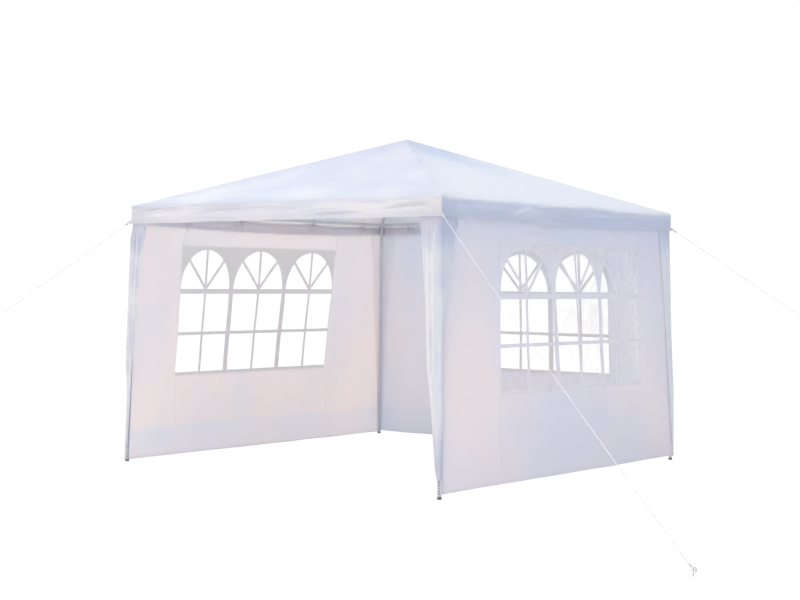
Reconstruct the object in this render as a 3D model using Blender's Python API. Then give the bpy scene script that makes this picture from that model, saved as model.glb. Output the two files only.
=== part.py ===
# Marquee tent, three metres square: a tube frame, a pyramid canopy with a
# short valance, walls with arched windows on three sides, an open front,
# folded drapes round the legs and four guy ropes to pegs.
# Metres, +Z up. The origin is at the middle of the plan at ground level,
# and the open side faces -Y.

import math

import bmesh
import bpy
from mathutils import Matrix, Vector

# Plan and heights
CANOPY_HALF = 1.500        # half width over the valance
EAVE_Z = 1.961             # edge of the roof, top face
APEX_Z = 2.511             # top of the roof
VALANCE_DROP = 0.139
GAP = 0.0003               # between pieces that touch
FABRIC = 0.003             # cloth is drawn thicker than it is
LAYER_STEP = 0.0045        # from one layer of cloth to the next one out

# Frame tubes
TUBE_R = 0.0125
TUBE_SIDES = 16
SMOOTH_ANGLE = 40.0        # degrees, edges sharper than this stay crisp
FITTING_R = 0.0140
FITTING_ARM = 0.070
ARM_OVERLAP = 0.0021       # each arm of a fitting starts this much further past the centre
ARM_PHASE = 5.0            # degrees, each arm's flats are turned this much further
LEG_TOP_HALF = 1.468       # leg axis from the middle, at the eaves
LEG_FOOT_HALF = 1.512      # and at the ground: the legs splay a little
FRAME_Z = 1.914            # axis of the eave tubes
CROWN_DROP = 0.033         # rafter axes below the roof's top
LEG_JOINT_Z = 0.930        # the lower tube plugs into the upper one
LEG_JOINT_R = 0.0142
LEG_JOINT_HALF = 0.012
LEG_JOINT_SLOPE = 0.004    # how far up the tube the collar runs out
FOOT_R = 0.0150
FOOT_H = 0.014
FOOT_SIDES = 24

# Walls and windows
WALL_CLEAR = 0.005         # between the frame tubes and the walls
WALL_TOP_Z = 1.892
WALL_HEM_Z = 0.020
WINDOW_W = 1.850
WINDOW_SILL_Z = 0.650
WINDOW_HEAD_Z = 1.690
WINDOW_CUT_PAST = 0.05     # the cutters reach this far past the cloth
FILM = 0.002
LEFT_WINDOW_SHIFT = -0.070     # along Y, the wall hangs a little forward
RIGHT_WINDOW_SHIFT = 0.080     # along Y
BACK_WINDOW_SHIFT = 0.050      # along X

# Drapes round the legs
DRAPE_TOP_Z = 1.900
DRAPE_FOOT_Z = 0.150
DRAPE_TOP_W = 0.170
DRAPE_FOOT_W = 0.035

# Guy ropes and pegs
ROPE_R = 0.0025
ROPE_SIDES = 8
ROPE_TOP_Z = 1.835
ROPE_ON_PEG_Z = 0.034
PEG_X = 3.986
PEG_Y = 2.725
PEG_R = 0.0030
PEG_H = 0.045
PEG_HOOK = 0.012           # radius of the bend at the peg's top
PEG_BEND_STEPS = 6

# Worked out from the above
TILT = math.atan2(APEX_Z - EAVE_Z, CANOPY_HALF)
ROOF_RISE = math.tan(TILT)
ROOF_UPRIGHT = FABRIC / math.cos(TILT)     # cloth thickness measured upright
VALANCE_TOP_Z = EAVE_Z - ROOF_UPRIGHT - GAP
VALANCE_FOOT_Z = EAVE_Z - VALANCE_DROP
CROWN_Z = APEX_Z - CROWN_DROP
WALL_IN = LEG_TOP_HALF + TUBE_R + WALL_CLEAR
WALL_OUT = WALL_IN + FABRIC
DRAPE_OUT = WALL_OUT + LAYER_STEP
LEG_TOP_Z = FRAME_Z - FITTING_ARM - GAP

CORNERS = {
    "front_right": (1, -1),
    "front_left": (-1, -1),
    "back_left": (-1, 1),
    "back_right": (1, 1),
}
SIDES = {"front": 0.0, "right": 90.0, "back": 180.0, "left": 270.0}


def clear_scene():
    for obj in list(bpy.data.objects):
        bpy.data.objects.remove(obj, do_unlink=True)


def make_material(name, colour, roughness, metallic=0.0, alpha=1.0):
    material = bpy.data.materials.new(name)
    material.use_nodes = True
    shader = material.node_tree.nodes["Principled BSDF"]
    shader.inputs["Base Color"].default_value = (*colour, 1.0)
    shader.inputs["Roughness"].default_value = roughness
    shader.inputs["Metallic"].default_value = metallic
    shader.inputs["Alpha"].default_value = alpha
    return material


def add_object(name, mesh, material):
    obj = bpy.data.objects.new(name, mesh)
    obj.data.materials.append(material)
    bpy.context.scene.collection.objects.link(obj)
    return obj


def finish_mesh(name, bm, smooth=False):
    mesh = bpy.data.meshes.new(name)
    bm.to_mesh(mesh)
    bm.free()
    if smooth:
        mesh.shade_smooth()
        mesh.set_sharp_from_angle(angle=math.radians(SMOOTH_ANGLE))
    return mesh


def loft(name, rings, smooth=False):
    """A closed solid through rings of points, all with the same count."""
    bm = bmesh.new()
    rows = [[bm.verts.new(point) for point in ring] for ring in rings]
    count = len(rows[0])
    for lower, upper in zip(rows, rows[1:]):
        for i in range(count):
            j = (i + 1) % count
            bm.faces.new((lower[i], lower[j], upper[j], upper[i]))
    bm.faces.new(rows[0])
    bm.faces.new(rows[-1])
    bmesh.ops.recalc_face_normals(bm, faces=bm.faces)
    return finish_mesh(name, bm, smooth)


def leg_half(z):
    """How far the leg's axis is from the middle, along X and along Y."""
    return LEG_FOOT_HALF + (LEG_TOP_HALF - LEG_FOOT_HALF) * z / FRAME_Z


def splayed(point):
    """The cloth on the legs follows their splay."""
    x, y, z = point
    spread = leg_half(z) / LEG_TOP_HALF
    return (x * spread, y * spread, z)


def turned(point, degrees):
    """The point turned about the middle of the plan."""
    angle = math.radians(degrees)
    x, y, z = point
    return (
        x * math.cos(angle) - y * math.sin(angle),
        x * math.sin(angle) + y * math.cos(angle),
        z,
    )


def circle(centre, radius, sides=TUBE_SIDES):
    return [
        (
            centre[0] + radius * math.cos(math.tau * i / sides),
            centre[1] + radius * math.sin(math.tau * i / sides),
            centre[2],
        )
        for i in range(sides)
    ]


def rod(name, start, end, radius, sides=TUBE_SIDES, phase=0.0):
    """A straight round bar from start to end, its flats turned by phase degrees."""
    start, end = Vector(start), Vector(end)
    bm = bmesh.new()
    bmesh.ops.create_cone(
        bm, cap_ends=True, segments=sides, radius1=radius, radius2=radius,
        depth=(end - start).length,
    )
    turn = Vector((0, 0, 1)).rotation_difference(end - start).to_matrix()
    turn = turn @ Matrix.Rotation(math.radians(phase), 3, "Z")
    for vert in bm.verts:
        vert.co = turn @ vert.co + (start + end) / 2
    return finish_mesh(name, bm, smooth=True)


def join_rods(name, material, centre, directions, radius, arm):
    """One fitting: round arms from one point, fused by Boolean unions."""
    centre = Vector(centre)
    body = None
    for i, direction in enumerate(directions):
        direction = Vector(direction).normalized()
        # the arms overlap past the centre, at staggered phases, so the unions are clean
        root = centre - direction * ARM_OVERLAP * (i + 1)
        mesh = rod(name, root, centre + direction * arm, radius, phase=ARM_PHASE * i)
        piece = add_object(f"{name}_arm_{i}", mesh, material)
        if body is None:
            body = piece
            body.name = name
            continue
        piece.hide_render = True
        piece.display_type = "WIRE"
        union = body.modifiers.new(f"arm_{i}", "BOOLEAN")
        union.operation = "UNION"
        union.object = piece
    return body


def hip_direction(sign_x, sign_y):
    """From a corner fitting up to the crown."""
    corner = Vector((sign_x * LEG_TOP_HALF, sign_y * LEG_TOP_HALF, FRAME_Z))
    return (Vector((0, 0, CROWN_Z)) - corner).normalized()


def add_legs(steel, rubber):
    for corner, (sign_x, sign_y) in CORNERS.items():
        outline = [
            (FOOT_H + GAP, TUBE_R),
            (LEG_JOINT_Z - LEG_JOINT_HALF - LEG_JOINT_SLOPE, TUBE_R),
            (LEG_JOINT_Z - LEG_JOINT_HALF, LEG_JOINT_R),
            (LEG_JOINT_Z + LEG_JOINT_HALF, LEG_JOINT_R),
            (LEG_JOINT_Z + LEG_JOINT_HALF + LEG_JOINT_SLOPE, TUBE_R),
            (LEG_TOP_Z, TUBE_R),
        ]
        rings = [
            circle((sign_x * leg_half(z), sign_y * leg_half(z), z), radius)
            for z, radius in outline
        ]
        add_object(f"leg_{corner}", loft(f"leg_{corner}", rings, smooth=True), steel)
        foot = (sign_x * LEG_FOOT_HALF, sign_y * LEG_FOOT_HALF, 0.0)
        top = (foot[0], foot[1], FOOT_H)
        name = f"foot_cap_{corner}"
        add_object(name, rod(name, foot, top, FOOT_R, FOOT_SIDES), rubber)


def add_frame_head(steel):
    for corner, (sign_x, sign_y) in CORNERS.items():
        centre = (sign_x * LEG_TOP_HALF, sign_y * LEG_TOP_HALF, FRAME_Z)
        arms = [(0, 0, -1), (-sign_x, 0, 0), (0, -sign_y, 0), hip_direction(sign_x, sign_y)]
        join_rods(f"corner_fitting_{corner}", steel, centre, arms, FITTING_R, FITTING_ARM)

    reach = LEG_TOP_HALF - FITTING_ARM - GAP
    for side, degrees in SIDES.items():
        start = turned((-reach, -LEG_TOP_HALF, FRAME_Z), degrees)
        end = turned((reach, -LEG_TOP_HALF, FRAME_Z), degrees)
        add_object(f"eave_tube_{side}", rod(f"eave_tube_{side}", start, end, TUBE_R), steel)

    crown = Vector((0, 0, CROWN_Z))
    hips = {corner: hip_direction(*signs) for corner, signs in CORNERS.items()}
    join_rods("crown_fitting", steel, crown, [-hip for hip in hips.values()],
              FITTING_R, FITTING_ARM)
    for corner, (sign_x, sign_y) in CORNERS.items():
        hip = hips[corner]
        foot = Vector((sign_x * LEG_TOP_HALF, sign_y * LEG_TOP_HALF, FRAME_Z))
        start = foot + hip * (FITTING_ARM + GAP)
        end = crown - hip * (FITTING_ARM + GAP)
        add_object(f"hip_rafter_{corner}", rod(f"hip_rafter_{corner}", start, end, TUBE_R), steel)


def add_canopy(cloth):
    """Four triangular roof panels and the valance below each."""
    edge = CANOPY_HALF
    for side, degrees in SIDES.items():
        plan = [(-edge + GAP, -edge), (edge - GAP, -edge), (GAP, -2 * GAP), (-GAP, -2 * GAP)]
        rings = []
        for drop in (ROOF_UPRIGHT, 0.0):
            rings.append([
                turned((x, y, APEX_Z + y * ROOF_RISE - drop), degrees) for x, y in plan
            ])
        add_object(f"roof_panel_{side}", loft(f"roof_panel_{side}", rings), cloth)

        outer, inner = edge, edge - FABRIC
        section = [
            (-outer + GAP, -outer), (outer - GAP, -outer),
            (inner - GAP, -inner), (-inner + GAP, -inner),
        ]
        rings = [
            [turned((x, y, z), degrees) for x, y in section]
            for z in (VALANCE_FOOT_Z, VALANCE_TOP_Z)
        ]
        add_object(f"valance_{side}", loft(f"valance_{side}", rings), cloth)


def plate(name, near, far, reach, bottom, top, shift, degrees):
    """A flat upright sheet, drawn on the front side and turned to its own."""
    low, high = shift - reach, shift + reach
    section = [(low, -far), (high, -far), (high, -near), (low, -near)]
    rings = [
        [splayed(turned((x, y, z), degrees)) for x, y in section] for z in (bottom, top)
    ]
    return loft(name, rings)


def add_walls(cloth, clear_film):
    shifts = {
        "left": -LEFT_WINDOW_SHIFT,
        "right": RIGHT_WINDOW_SHIFT,
        "back": -BACK_WINDOW_SHIFT,
    }
    for side, shift in shifts.items():
        degrees = SIDES[side]
        # the side walls run past the back wall's ends
        reach = WALL_IN - 2 * GAP if side == "back" else WALL_OUT
        wall = add_object(
            f"{side}_wall",
            plate(f"{side}_wall", WALL_IN, WALL_OUT, reach, WALL_HEM_Z, WALL_TOP_Z, 0.0, degrees),
            cloth,
        )
        cutter = add_object(
            f"{side}_window_cutter",
            plate(f"{side}_window_cutter", WALL_IN - WINDOW_CUT_PAST, WALL_OUT + WINDOW_CUT_PAST,
                  WINDOW_W / 2, WINDOW_SILL_Z, WINDOW_HEAD_Z, shift, degrees),
            cloth,
        )
        cutter.hide_render = True
        cutter.display_type = "WIRE"
        cut = wall.modifiers.new("window", "BOOLEAN")
        cut.operation = "DIFFERENCE"
        cut.object = cutter
        middle = (WALL_IN + WALL_OUT) / 2
        film = plate(
            f"{side}_window_film", middle - FILM / 2, middle + FILM / 2, WINDOW_W / 2 - GAP,
            WINDOW_SILL_Z + GAP, WINDOW_HEAD_Z - GAP, shift, degrees,
        )
        add_object(f"{side}_window_film", film, clear_film)


def add_drapes(cloth):
    """A tapering piece of cloth folded round each leg, outside the walls."""
    out, back = DRAPE_OUT, DRAPE_OUT - FABRIC
    for corner, (sign_x, sign_y) in CORNERS.items():
        rings = []
        for z, width in ((DRAPE_FOOT_Z, DRAPE_FOOT_W), (DRAPE_TOP_Z, DRAPE_TOP_W)):
            section = [
                (out, out), (out - width, out), (out - width, back),
                (back, back), (back, out - width), (out, out - width),
            ]
            rings.append([splayed((sign_x * x, sign_y * y, z)) for x, y in section])
        add_object(f"leg_drape_{corner}", loft(f"leg_drape_{corner}", rings), cloth)


def add_peg(name, sign_x, sign_y, steel):
    """The part of the peg above the ground: a bar bent over at its top."""
    away = Vector((sign_x * (PEG_X - LEG_TOP_HALF), sign_y * (PEG_Y - LEG_TOP_HALF), 0)).normalized()
    foot = Vector((sign_x * PEG_X, sign_y * PEG_Y, 0)) - away * (PEG_R + PEG_HOOK)
    points = [foot, foot + Vector((0, 0, PEG_H - PEG_HOOK))]
    centre = points[1] + away * PEG_HOOK
    for i in range(1, PEG_BEND_STEPS + 1):
        angle = math.pi * i / PEG_BEND_STEPS
        points.append(
            centre - away * PEG_HOOK * math.cos(angle) + Vector((0, 0, PEG_HOOK * math.sin(angle)))
        )
    points.append(points[-1] - Vector((0, 0, PEG_HOOK / 2)))
    curve = bpy.data.curves.new(name, "CURVE")
    curve.dimensions = "3D"
    curve.bevel_depth = PEG_R
    curve.bevel_resolution = 2
    curve.use_fill_caps = True
    spline = curve.splines.new("POLY")
    spline.points.add(len(points) - 1)
    for slot, point in zip(spline.points, points):
        slot.co = (*point, 1)
    add_object(name, curve, steel)
    return foot, away


def add_ropes(rope_white, steel):
    for corner, (sign_x, sign_y) in CORNERS.items():
        foot, away = add_peg(f"ground_peg_{corner}", sign_x, sign_y, steel)
        low = foot - away * (PEG_R + ROPE_R + GAP) + Vector((0, 0, ROPE_ON_PEG_Z))
        high = Vector((sign_x * CANOPY_HALF, sign_y * CANOPY_HALF, ROPE_TOP_Z))
        line = (low - high).normalized()
        high += line * (ROPE_R + GAP)
        name = f"guy_rope_{corner}"
        add_object(name, rod(name, high, low, ROPE_R, ROPE_SIDES), rope_white)


def build_tent():
    clear_scene()
    cloth = make_material("white_cloth", (0.86, 0.88, 0.92), 0.45)
    wall_cloth = make_material("wall_cloth", (0.80, 0.80, 0.84), 0.45)
    clear_film = make_material("clear_film", (0.95, 0.96, 0.98), 0.08, alpha=0.15)
    steel = make_material("grey_coated_steel", (0.52, 0.53, 0.56), 0.35)
    bright_steel = make_material("bright_steel", (0.62, 0.63, 0.65), 0.30, metallic=1.0)
    rubber = make_material("dark_cap", (0.16, 0.16, 0.13), 0.60)
    rope_white = make_material("white_rope", (0.92, 0.92, 0.94), 0.80)
    add_legs(steel, rubber)
    add_frame_head(steel)
    add_canopy(cloth)
    add_walls(wall_cloth, clear_film)
    add_drapes(cloth)
    add_ropes(rope_white, bright_steel)


build_tent()
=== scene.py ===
import math

import bpy
import numpy as np
from mathutils import Matrix, Vector
from mathutils.geometry import delaunay_2d_cdt


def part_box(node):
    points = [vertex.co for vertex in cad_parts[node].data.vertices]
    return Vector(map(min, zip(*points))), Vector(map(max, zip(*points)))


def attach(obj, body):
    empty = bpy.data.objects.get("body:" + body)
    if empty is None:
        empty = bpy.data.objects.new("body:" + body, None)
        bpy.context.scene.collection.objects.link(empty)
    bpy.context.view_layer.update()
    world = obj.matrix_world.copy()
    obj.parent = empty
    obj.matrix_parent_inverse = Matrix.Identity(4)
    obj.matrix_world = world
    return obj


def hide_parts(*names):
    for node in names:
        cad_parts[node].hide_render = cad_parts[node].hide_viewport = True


# A white marquee tent: thin woven cloth on a tube frame. Metres, the open side faces -Y.

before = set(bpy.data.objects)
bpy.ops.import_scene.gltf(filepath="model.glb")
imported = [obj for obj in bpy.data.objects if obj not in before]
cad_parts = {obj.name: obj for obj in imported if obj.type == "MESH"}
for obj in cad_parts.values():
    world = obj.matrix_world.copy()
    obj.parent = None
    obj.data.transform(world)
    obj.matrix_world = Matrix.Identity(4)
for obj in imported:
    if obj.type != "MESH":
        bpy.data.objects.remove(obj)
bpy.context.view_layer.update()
print("frame loaded:", len(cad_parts), "nodes")


def middleOf(node):
    low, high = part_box(node)
    return (low + high) / 2


# Sizes that come from the frame
tent = {
    "half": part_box("valance_right")[1].x,
    "apex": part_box("roof_panel_front")[1].z,
    "eave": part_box("roof_panel_front")[0].z,
    "valanceFoot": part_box("valance_front")[0].z,
    "tubeLine": middleOf("eave_tube_right").x,
    "tubeHeight": middleOf("eave_tube_right").z,
    "tubeRadius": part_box("eave_tube_right")[1].x - middleOf("eave_tube_right").x,
    "footLine": middleOf("foot_cap_front_right").x,
    "wallHem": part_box("right_wall")[0].z,
    "wallTop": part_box("right_wall")[1].z,
    "drapeFoot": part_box("leg_drape_front_right")[0].z,
    "drapeTop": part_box("leg_drape_front_right")[1].z,
}

sideTurn = {"front": 0.0, "right": 90.0, "back": 180.0, "left": 270.0}
cornerSigns = {
    "front_right": (1, -1),
    "front_left": (-1, -1),
    "back_left": (-1, 1),
    "back_right": (1, 1),
}


def legLine(z):
    # the legs splay a little towards the ground, and the cloth on them follows
    return tent["footLine"] + (tent["tubeLine"] - tent["footLine"]) * z / tent["tubeHeight"]


def spreadAt(z):
    return legLine(z) / tent["tubeLine"]


# Middle of the wall cloth and of the drapes, out from the tent's middle, at the eaves
halfSheet = 0.0015  # half the thickness of the solids' sheets
tent["wallLine"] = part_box("right_wall")[1].x / spreadAt(tent["wallHem"]) - halfSheet
tent["drapeLine"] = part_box("leg_drape_front_right")[1].x / spreadAt(tent["drapeFoot"]) - halfSheet


def onSide(side, u, out, z, splay=True):
    # u runs along the side, to the right seen from outside; out is away from the tent
    u, out, z = (np.asarray(v, float) for v in np.broadcast_arrays(u, out, z))
    spread = spreadAt(z) if splay else 1.0
    turn = math.radians(sideTurn[side])
    x, y = u * spread, -out * spread
    return np.stack([
        x * math.cos(turn) - y * math.sin(turn),
        x * math.sin(turn) + y * math.cos(turn),
        z,
    ], axis=-1)


def fromSide(side, x, y):
    # the way back for what doesn't splay: u and out from x and y
    turn = math.radians(sideTurn[side])
    return x * math.cos(turn) + y * math.sin(turn), x * math.sin(turn) - y * math.cos(turn)


def sideNumbers(x, y):
    # the side that each place lies on, as its number in sideTurn
    return np.stack([-y, x, y, -x]).argmax(axis=0)


def atHeights(z, pairs):
    # a value that is given at a few heights
    return np.interp(z, *zip(*pairs))


def smoothStep(t):
    t = np.clip(t, 0.0, 1.0)
    return t * t * (3 - 2 * t)


def rising(value, start, reach):
    # from 0 to 1 over a reach
    return smoothStep((value - start) / reach)


def smoothNoise(x, y, seed, lattice=(97, 89), gain=1.5):
    # gradient noise on a seeded lattice, about -1 to 1
    angles = np.random.default_rng(seed).uniform(0, math.tau, lattice)
    x, y = np.broadcast_arrays(np.asarray(x, float), np.asarray(y, float))
    cellX, cellY = np.floor(x).astype(int), np.floor(y).astype(int)
    partX, partY = x - cellX, y - cellY

    def pull(i, j):
        angle = angles[(cellX + i) % lattice[0], (cellY + j) % lattice[1]]
        return np.cos(angle) * (partX - i) + np.sin(angle) * (partY - j)

    blendX, blendY = smoothStep(partX), smoothStep(partY)
    low = pull(0, 0) * (1 - blendX) + pull(1, 0) * blendX
    high = pull(0, 1) * (1 - blendX) + pull(1, 1) * blendX
    return gain * (low * (1 - blendY) + high * blendY)


def creases(x, y, seed, bend=0.35, bendScale=0.7, level=0.5, steepness=1.6):
    # sharp little ridges between soft flats, as in stiff thin cloth
    bent = bend * smoothNoise(x * bendScale, y * bendScale, seed + 1)
    return level - steepness * np.abs(smoothNoise(x + bent, y - bent, seed))


def relief(rows, u, v, seed, **places):
    # waves and creases laid over one another. Each row has the name of the place where it shows, its
    # form, its height, the two coordinates of its pattern as (share of u, share of v, shift), and the
    # step to its own seed
    total = np.zeros_like(u)
    for place, form, height, first, second, step in rows:
        x, y = (u * shareU + v * shareV + shift for shareU, shareV, shift in (first, second))
        total = total + height * places[place] * form(x, y, seed + step)
    return total


def rays(shape, across, down, turn):
    # drag lines that fan out from a point where the cloth is held
    away = np.hypot(across, down)
    angle = np.arctan2(across, down + shape["ease"])
    fan = np.cos(angle * shape["rays"] + turn) * np.exp(-away / shape["reach"])
    return shape["height"] * fan * smoothStep(away / shape["clear"])


# Node trees


def operator(operation, swapped=False):
    def act(self, other):
        values = (other, self) if swapped else (self, other)
        return self.bench.maths(operation, *values)
    return act


class Wire:
    # a node's socket, so that node maths can be written as Python expressions
    __add__, __radd__ = operator("ADD"), operator("ADD", swapped=True)
    __sub__, __rsub__ = operator("SUBTRACT"), operator("SUBTRACT", swapped=True)
    __mul__, __rmul__ = operator("MULTIPLY"), operator("MULTIPLY", swapped=True)
    __truediv__, __pow__, __gt__ = operator("DIVIDE"), operator("POWER"), operator("GREATER_THAN")

    def __init__(self, bench, socket):
        self.bench, self.socket = bench, socket

    def __abs__(self):
        return self.bench.maths("ABSOLUTE", self)


class Outlets:
    # a node whose outputs are wires
    def __init__(self, bench, made):
        self.bench, self.made = bench, made

    def __getitem__(self, key):
        return Wire(self.bench, self.made.outputs[key])


class Bench:
    # where the nodes of one tree are made
    def __init__(self, tree):
        self.tree = tree

    def node(self, kind, inputs=None, **settings):
        made = self.tree.nodes.new(kind)
        for key, value in settings.items():
            setattr(made, key, value)
        for key, value in (inputs or {}).items():
            socket = made.inputs[key]
            if isinstance(value, Wire):
                self.tree.links.new(value.socket, socket)
            elif hasattr(socket.default_value, "__len__") and not hasattr(value, "__len__"):
                socket.default_value = [value] * len(socket.default_value)
            else:
                socket.default_value = value
        return Outlets(self, made)

    def maths(self, operation, *values):
        vectors = any(isinstance(v, Wire) and v.socket.type == "VECTOR" for v in values)
        kind = "ShaderNodeVectorMath" if vectors else "ShaderNodeMath"
        return self.node(kind, dict(enumerate(values)), operation=operation)[0]

    def split(self, vector):
        return self.node("ShaderNodeSeparateXYZ", {0: vector})

    def join(self, x=0.0, y=0.0, z=0.0):
        return self.node("ShaderNodeCombineXYZ", {0: x, 1: y, 2: z})[0]

    # for materials

    def attribute(self, name, output):
        return self.node("ShaderNodeAttribute", attribute_name=name)[output]

    def noise(self, place, scale, detail, **more):
        inputs = {"Vector": place, "Scale": scale, "Detail": detail, **more}
        return self.node("ShaderNodeTexNoise", inputs)[0]

    def ramp(self, value, low, high):
        return self.node("ShaderNodeMapRange", {0: value, 1: low, 2: high})[0]

    def bump(self, height):
        return self.node("ShaderNodeBump", {"Strength": 1.0, "Distance": 1.0, "Height": height})[0]

    def blendColours(self, factor, first, second):
        inputs = {0: factor, 6: (*first, 1.0), 7: (*second, 1.0)}
        return self.node("ShaderNodeMix", inputs, data_type="RGBA")[2]

    def blendShaders(self, factor, first, second):
        return self.node("ShaderNodeMixShader", {0: factor, 1: first, 2: second})[0]

    # for shapes

    def evenLine(self, geometry, step):
        route = self.node("GeometryNodeMeshToCurve", {0: geometry})[0]
        return self.node("GeometryNodeResampleCurve", {"Curve": route, "Length": step}, mode="LENGTH")[0]

    def circle(self, sides, radius):
        return self.node("GeometryNodeCurvePrimitiveCircle", {"Resolution": sides, "Radius": radius})[0]

    def rod(self, curve, sides, radius):
        inputs = {"Curve": curve, "Profile Curve": self.circle(sides, radius), "Fill Caps": True}
        return self.node("GeometryNodeCurveToMesh", inputs)[0]

    def facing(self):
        return self.node("GeometryNodeInputNamedAttribute", {"Name": "facing"},
                         data_type="FLOAT_VECTOR")[0]

    def aimed(self, axis, vector, pivot="AUTO", **more):
        return self.node("FunctionNodeAlignRotationToVector", {"Vector": vector, **more}, axis=axis,
                         pivot_axis=pivot)[0]


def newMaterial(name):
    material = bpy.data.materials.new(name)
    material.use_nodes = True
    material.node_tree.nodes.clear()
    return material, Bench(material.node_tree)


def closeMaterial(bench, shader):
    bench.node("ShaderNodeOutputMaterial", {"Surface": shader})


# Finishes

clothFinishes = {
    "canopyCloth": {
        "cool": (0.795, 0.83, 0.93), "warm": (0.960, 0.975, 1.000), "through": 0.42,
        "coolThrough": (0.84, 0.85, 0.92), "warmThrough": (0.95, 0.93, 0.94),
        "tintScale": 1.6, "tintSpan": (0.10, 0.60), "roughness": 0.46, "packed": 0.00010,
    },
    "wallCloth": {
        "cool": (0.82, 0.84, 0.92), "warm": (0.94, 0.89, 0.90), "through": 0.56,
        "coolThrough": (0.91, 0.92, 0.96), "warmThrough": (0.98, 0.93, 0.925),
        "tintScale": 1.1, "tintSpan": (0.20, 0.80), "roughness": 0.50, "packed": 0.00016,
    },
    "drapeCloth": {
        "cool": (0.78, 0.80, 0.90), "warm": (0.97, 0.985, 1.0), "through": 0.46,
        "coolThrough": (0.86, 0.88, 0.95), "warmThrough": (0.985, 0.985, 1.0),
        "tintScale": 3.0, "tintSpan": (0.30, 0.70), "roughness": 0.42, "packed": 0.00006,
    },
    "windowBarCloth": {
        "cool": (0.95, 0.95, 0.96), "warm": (0.90, 0.88, 0.92), "through": 0.40,
        "coolThrough": (0.81, 0.785, 0.765), "warmThrough": (0.93, 0.905, 0.93),
        "tintScale": 2.0, "tintSpan": (0.30, 0.70), "roughness": 0.55, "packed": 0.0,
    },
    "seamCloth": {
        "cool": (0.90, 0.92, 0.97), "warm": (0.96, 0.93, 0.93), "through": 0.88,
        "coolThrough": (0.98, 0.985, 0.99), "warmThrough": (0.99, 0.98, 0.98),
        "tintScale": 1.1, "tintSpan": (0.20, 0.80), "roughness": 0.55, "packed": 0.0,
    },
}
weave = {"pitch": 0.0024, "depth": 0.00006, "crumple": 0.00045, "crumpleScale": 16.0, "fine": 0.00012,
         "fineScale": 90.0, "packPitch": (0.375, 0.310), "packWidth": 0.004, "glossSpread": 0.16,
         "shine": 0.35, "tintDetail": 2.0, "crumpleDetail": 3.0, "crumpleRoughness": 0.55,
         "fineDetail": 2.0}


def makeCloth(name):
    # woven plastic tape cloth: a fine square weave, soft crumples, the folds it was packed in, and
    # # a slow change from cool to warm white that follows the attribute "tint" and a little noise. The noise
    # is
    # # the cloth's own uneven tone; the attribute mostly carries painted light and shade, the cool blue-grey
    # # end standing for painted shade and the warm white end for painted light
    finish = clothFinishes[name]
    material, bench = newMaterial(name)
    flat = bench.attribute("flat", "Vector")
    tint = bench.noise(flat, finish["tintScale"], weave["tintDetail"]) + bench.attribute("tint", "Fac")
    spread = bench.ramp(tint, *finish["tintSpan"])

    axes = bench.split(flat)
    tapes = math.pi / weave["pitch"]
    across, along = (bench.maths("SINE", axes[key] * tapes) for key in "XY")
    crumple = bench.noise(flat, weave["crumpleScale"], weave["crumpleDetail"],
                          Roughness=weave["crumpleRoughness"])
    fine = bench.noise(flat, weave["fineScale"], weave["fineDetail"])
    height = across * along * weave["depth"] + crumple * weave["crumple"] + fine * weave["fine"]
    if finish["packed"]:
        for key, pitch in zip("XY", weave["packPitch"]):
            nearest = bench.maths("PINGPONG", axes[key], pitch / 2)
            ridge = bench.maths("MAXIMUM", 1.0 - nearest / weave["packWidth"], 0.0)
            height = height + ridge * finish["packed"]
    bump = bench.bump(height)
    skin = bench.node("ShaderNodeBsdfPrincipled", {
        "Base Color": bench.blendColours(spread, finish["cool"], finish["warm"]),
        "Roughness": crumple * weave["glossSpread"] + (finish["roughness"] - weave["glossSpread"] / 2),
        "Normal": bump, "Specular IOR Level": weave["shine"],
    })[0]
    coolGlow, warmGlow = (
        bench.node("ShaderNodeBsdfTranslucent", {"Color": (*finish[key], 1.0), "Normal": bump})[0]
        for key in ("coolThrough", "warmThrough"))
    glow = bench.blendShaders(spread, coolGlow, warmGlow)
    closeMaterial(bench, bench.blendShaders(finish["through"], skin, glow))
    return material


filmFinish = {
    "colour": (0.96, 0.92, 0.92, 1.0), "turn": 0.45, "stretch": 0.40, "wrinkleScale": 5.5,
    "wrinkleBend": 0.5, "cloudScale": 6.0, "cloudBend": 0.3, "sharpness": 13.0,
    "wrinkleDepth": 0.0045, "lineDepth": 0.0004, "cloudDepth": 0.0012,
    "lineMilk": 0.015, "crumpledLineMilk": 0.16, "cloudMilk": 0.50, "milk": 0.010,
    "rough": 0.08, "roughSpread": 0.14, "wrinkleDetail": 1.5, "cloudDetail": 3.0,
}


def makeFilm():
    # soft clear film: nearly unseen where it lies smooth, milky along its sharp little creases and
    #     # where the attribute "tint" says that it is crumpled; the milky streaks along the creases are
    #     partly
    #     # painted highlights, standing in for glints on the crumpled film
    finish = filmFinish
    material, bench = newMaterial("clearFilm")
    flat, given = bench.attribute("flat", "Vector"), bench.attribute("tint", "Fac")
    stretched = bench.node("ShaderNodeMapping", {
        0: flat, 2: (0, 0, finish["turn"]), 3: (1.0, finish["stretch"], 1.0),
    })[0]
    wrinkle = bench.noise(stretched, finish["wrinkleScale"], finish["wrinkleDetail"],
                          Distortion=finish["wrinkleBend"])
    line = bench.maths("MAXIMUM", 1.0 - abs(wrinkle - 0.5) * finish["sharpness"], 0.0)
    cloud = bench.noise(flat, finish["cloudScale"], finish["cloudDetail"],
                        Distortion=finish["cloudBend"])
    height = (wrinkle * finish["wrinkleDepth"] + line * finish["lineDepth"]
              + cloud * finish["cloudDepth"])
    # painted highlights along the creases, and milkiness where the film is crumpled
    milkAndGlint = (line * (given * finish["crumpledLineMilk"] + finish["lineMilk"])
             + given * cloud * finish["cloudMilk"] + finish["milk"])
    closeMaterial(bench, bench.node("ShaderNodeBsdfPrincipled", {
        "Base Color": finish["colour"], "Roughness": wrinkle * finish["roughSpread"] + finish["rough"],
        "Alpha": milkAndGlint, "Normal": bench.bump(height),
    })[0])
    return material


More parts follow.
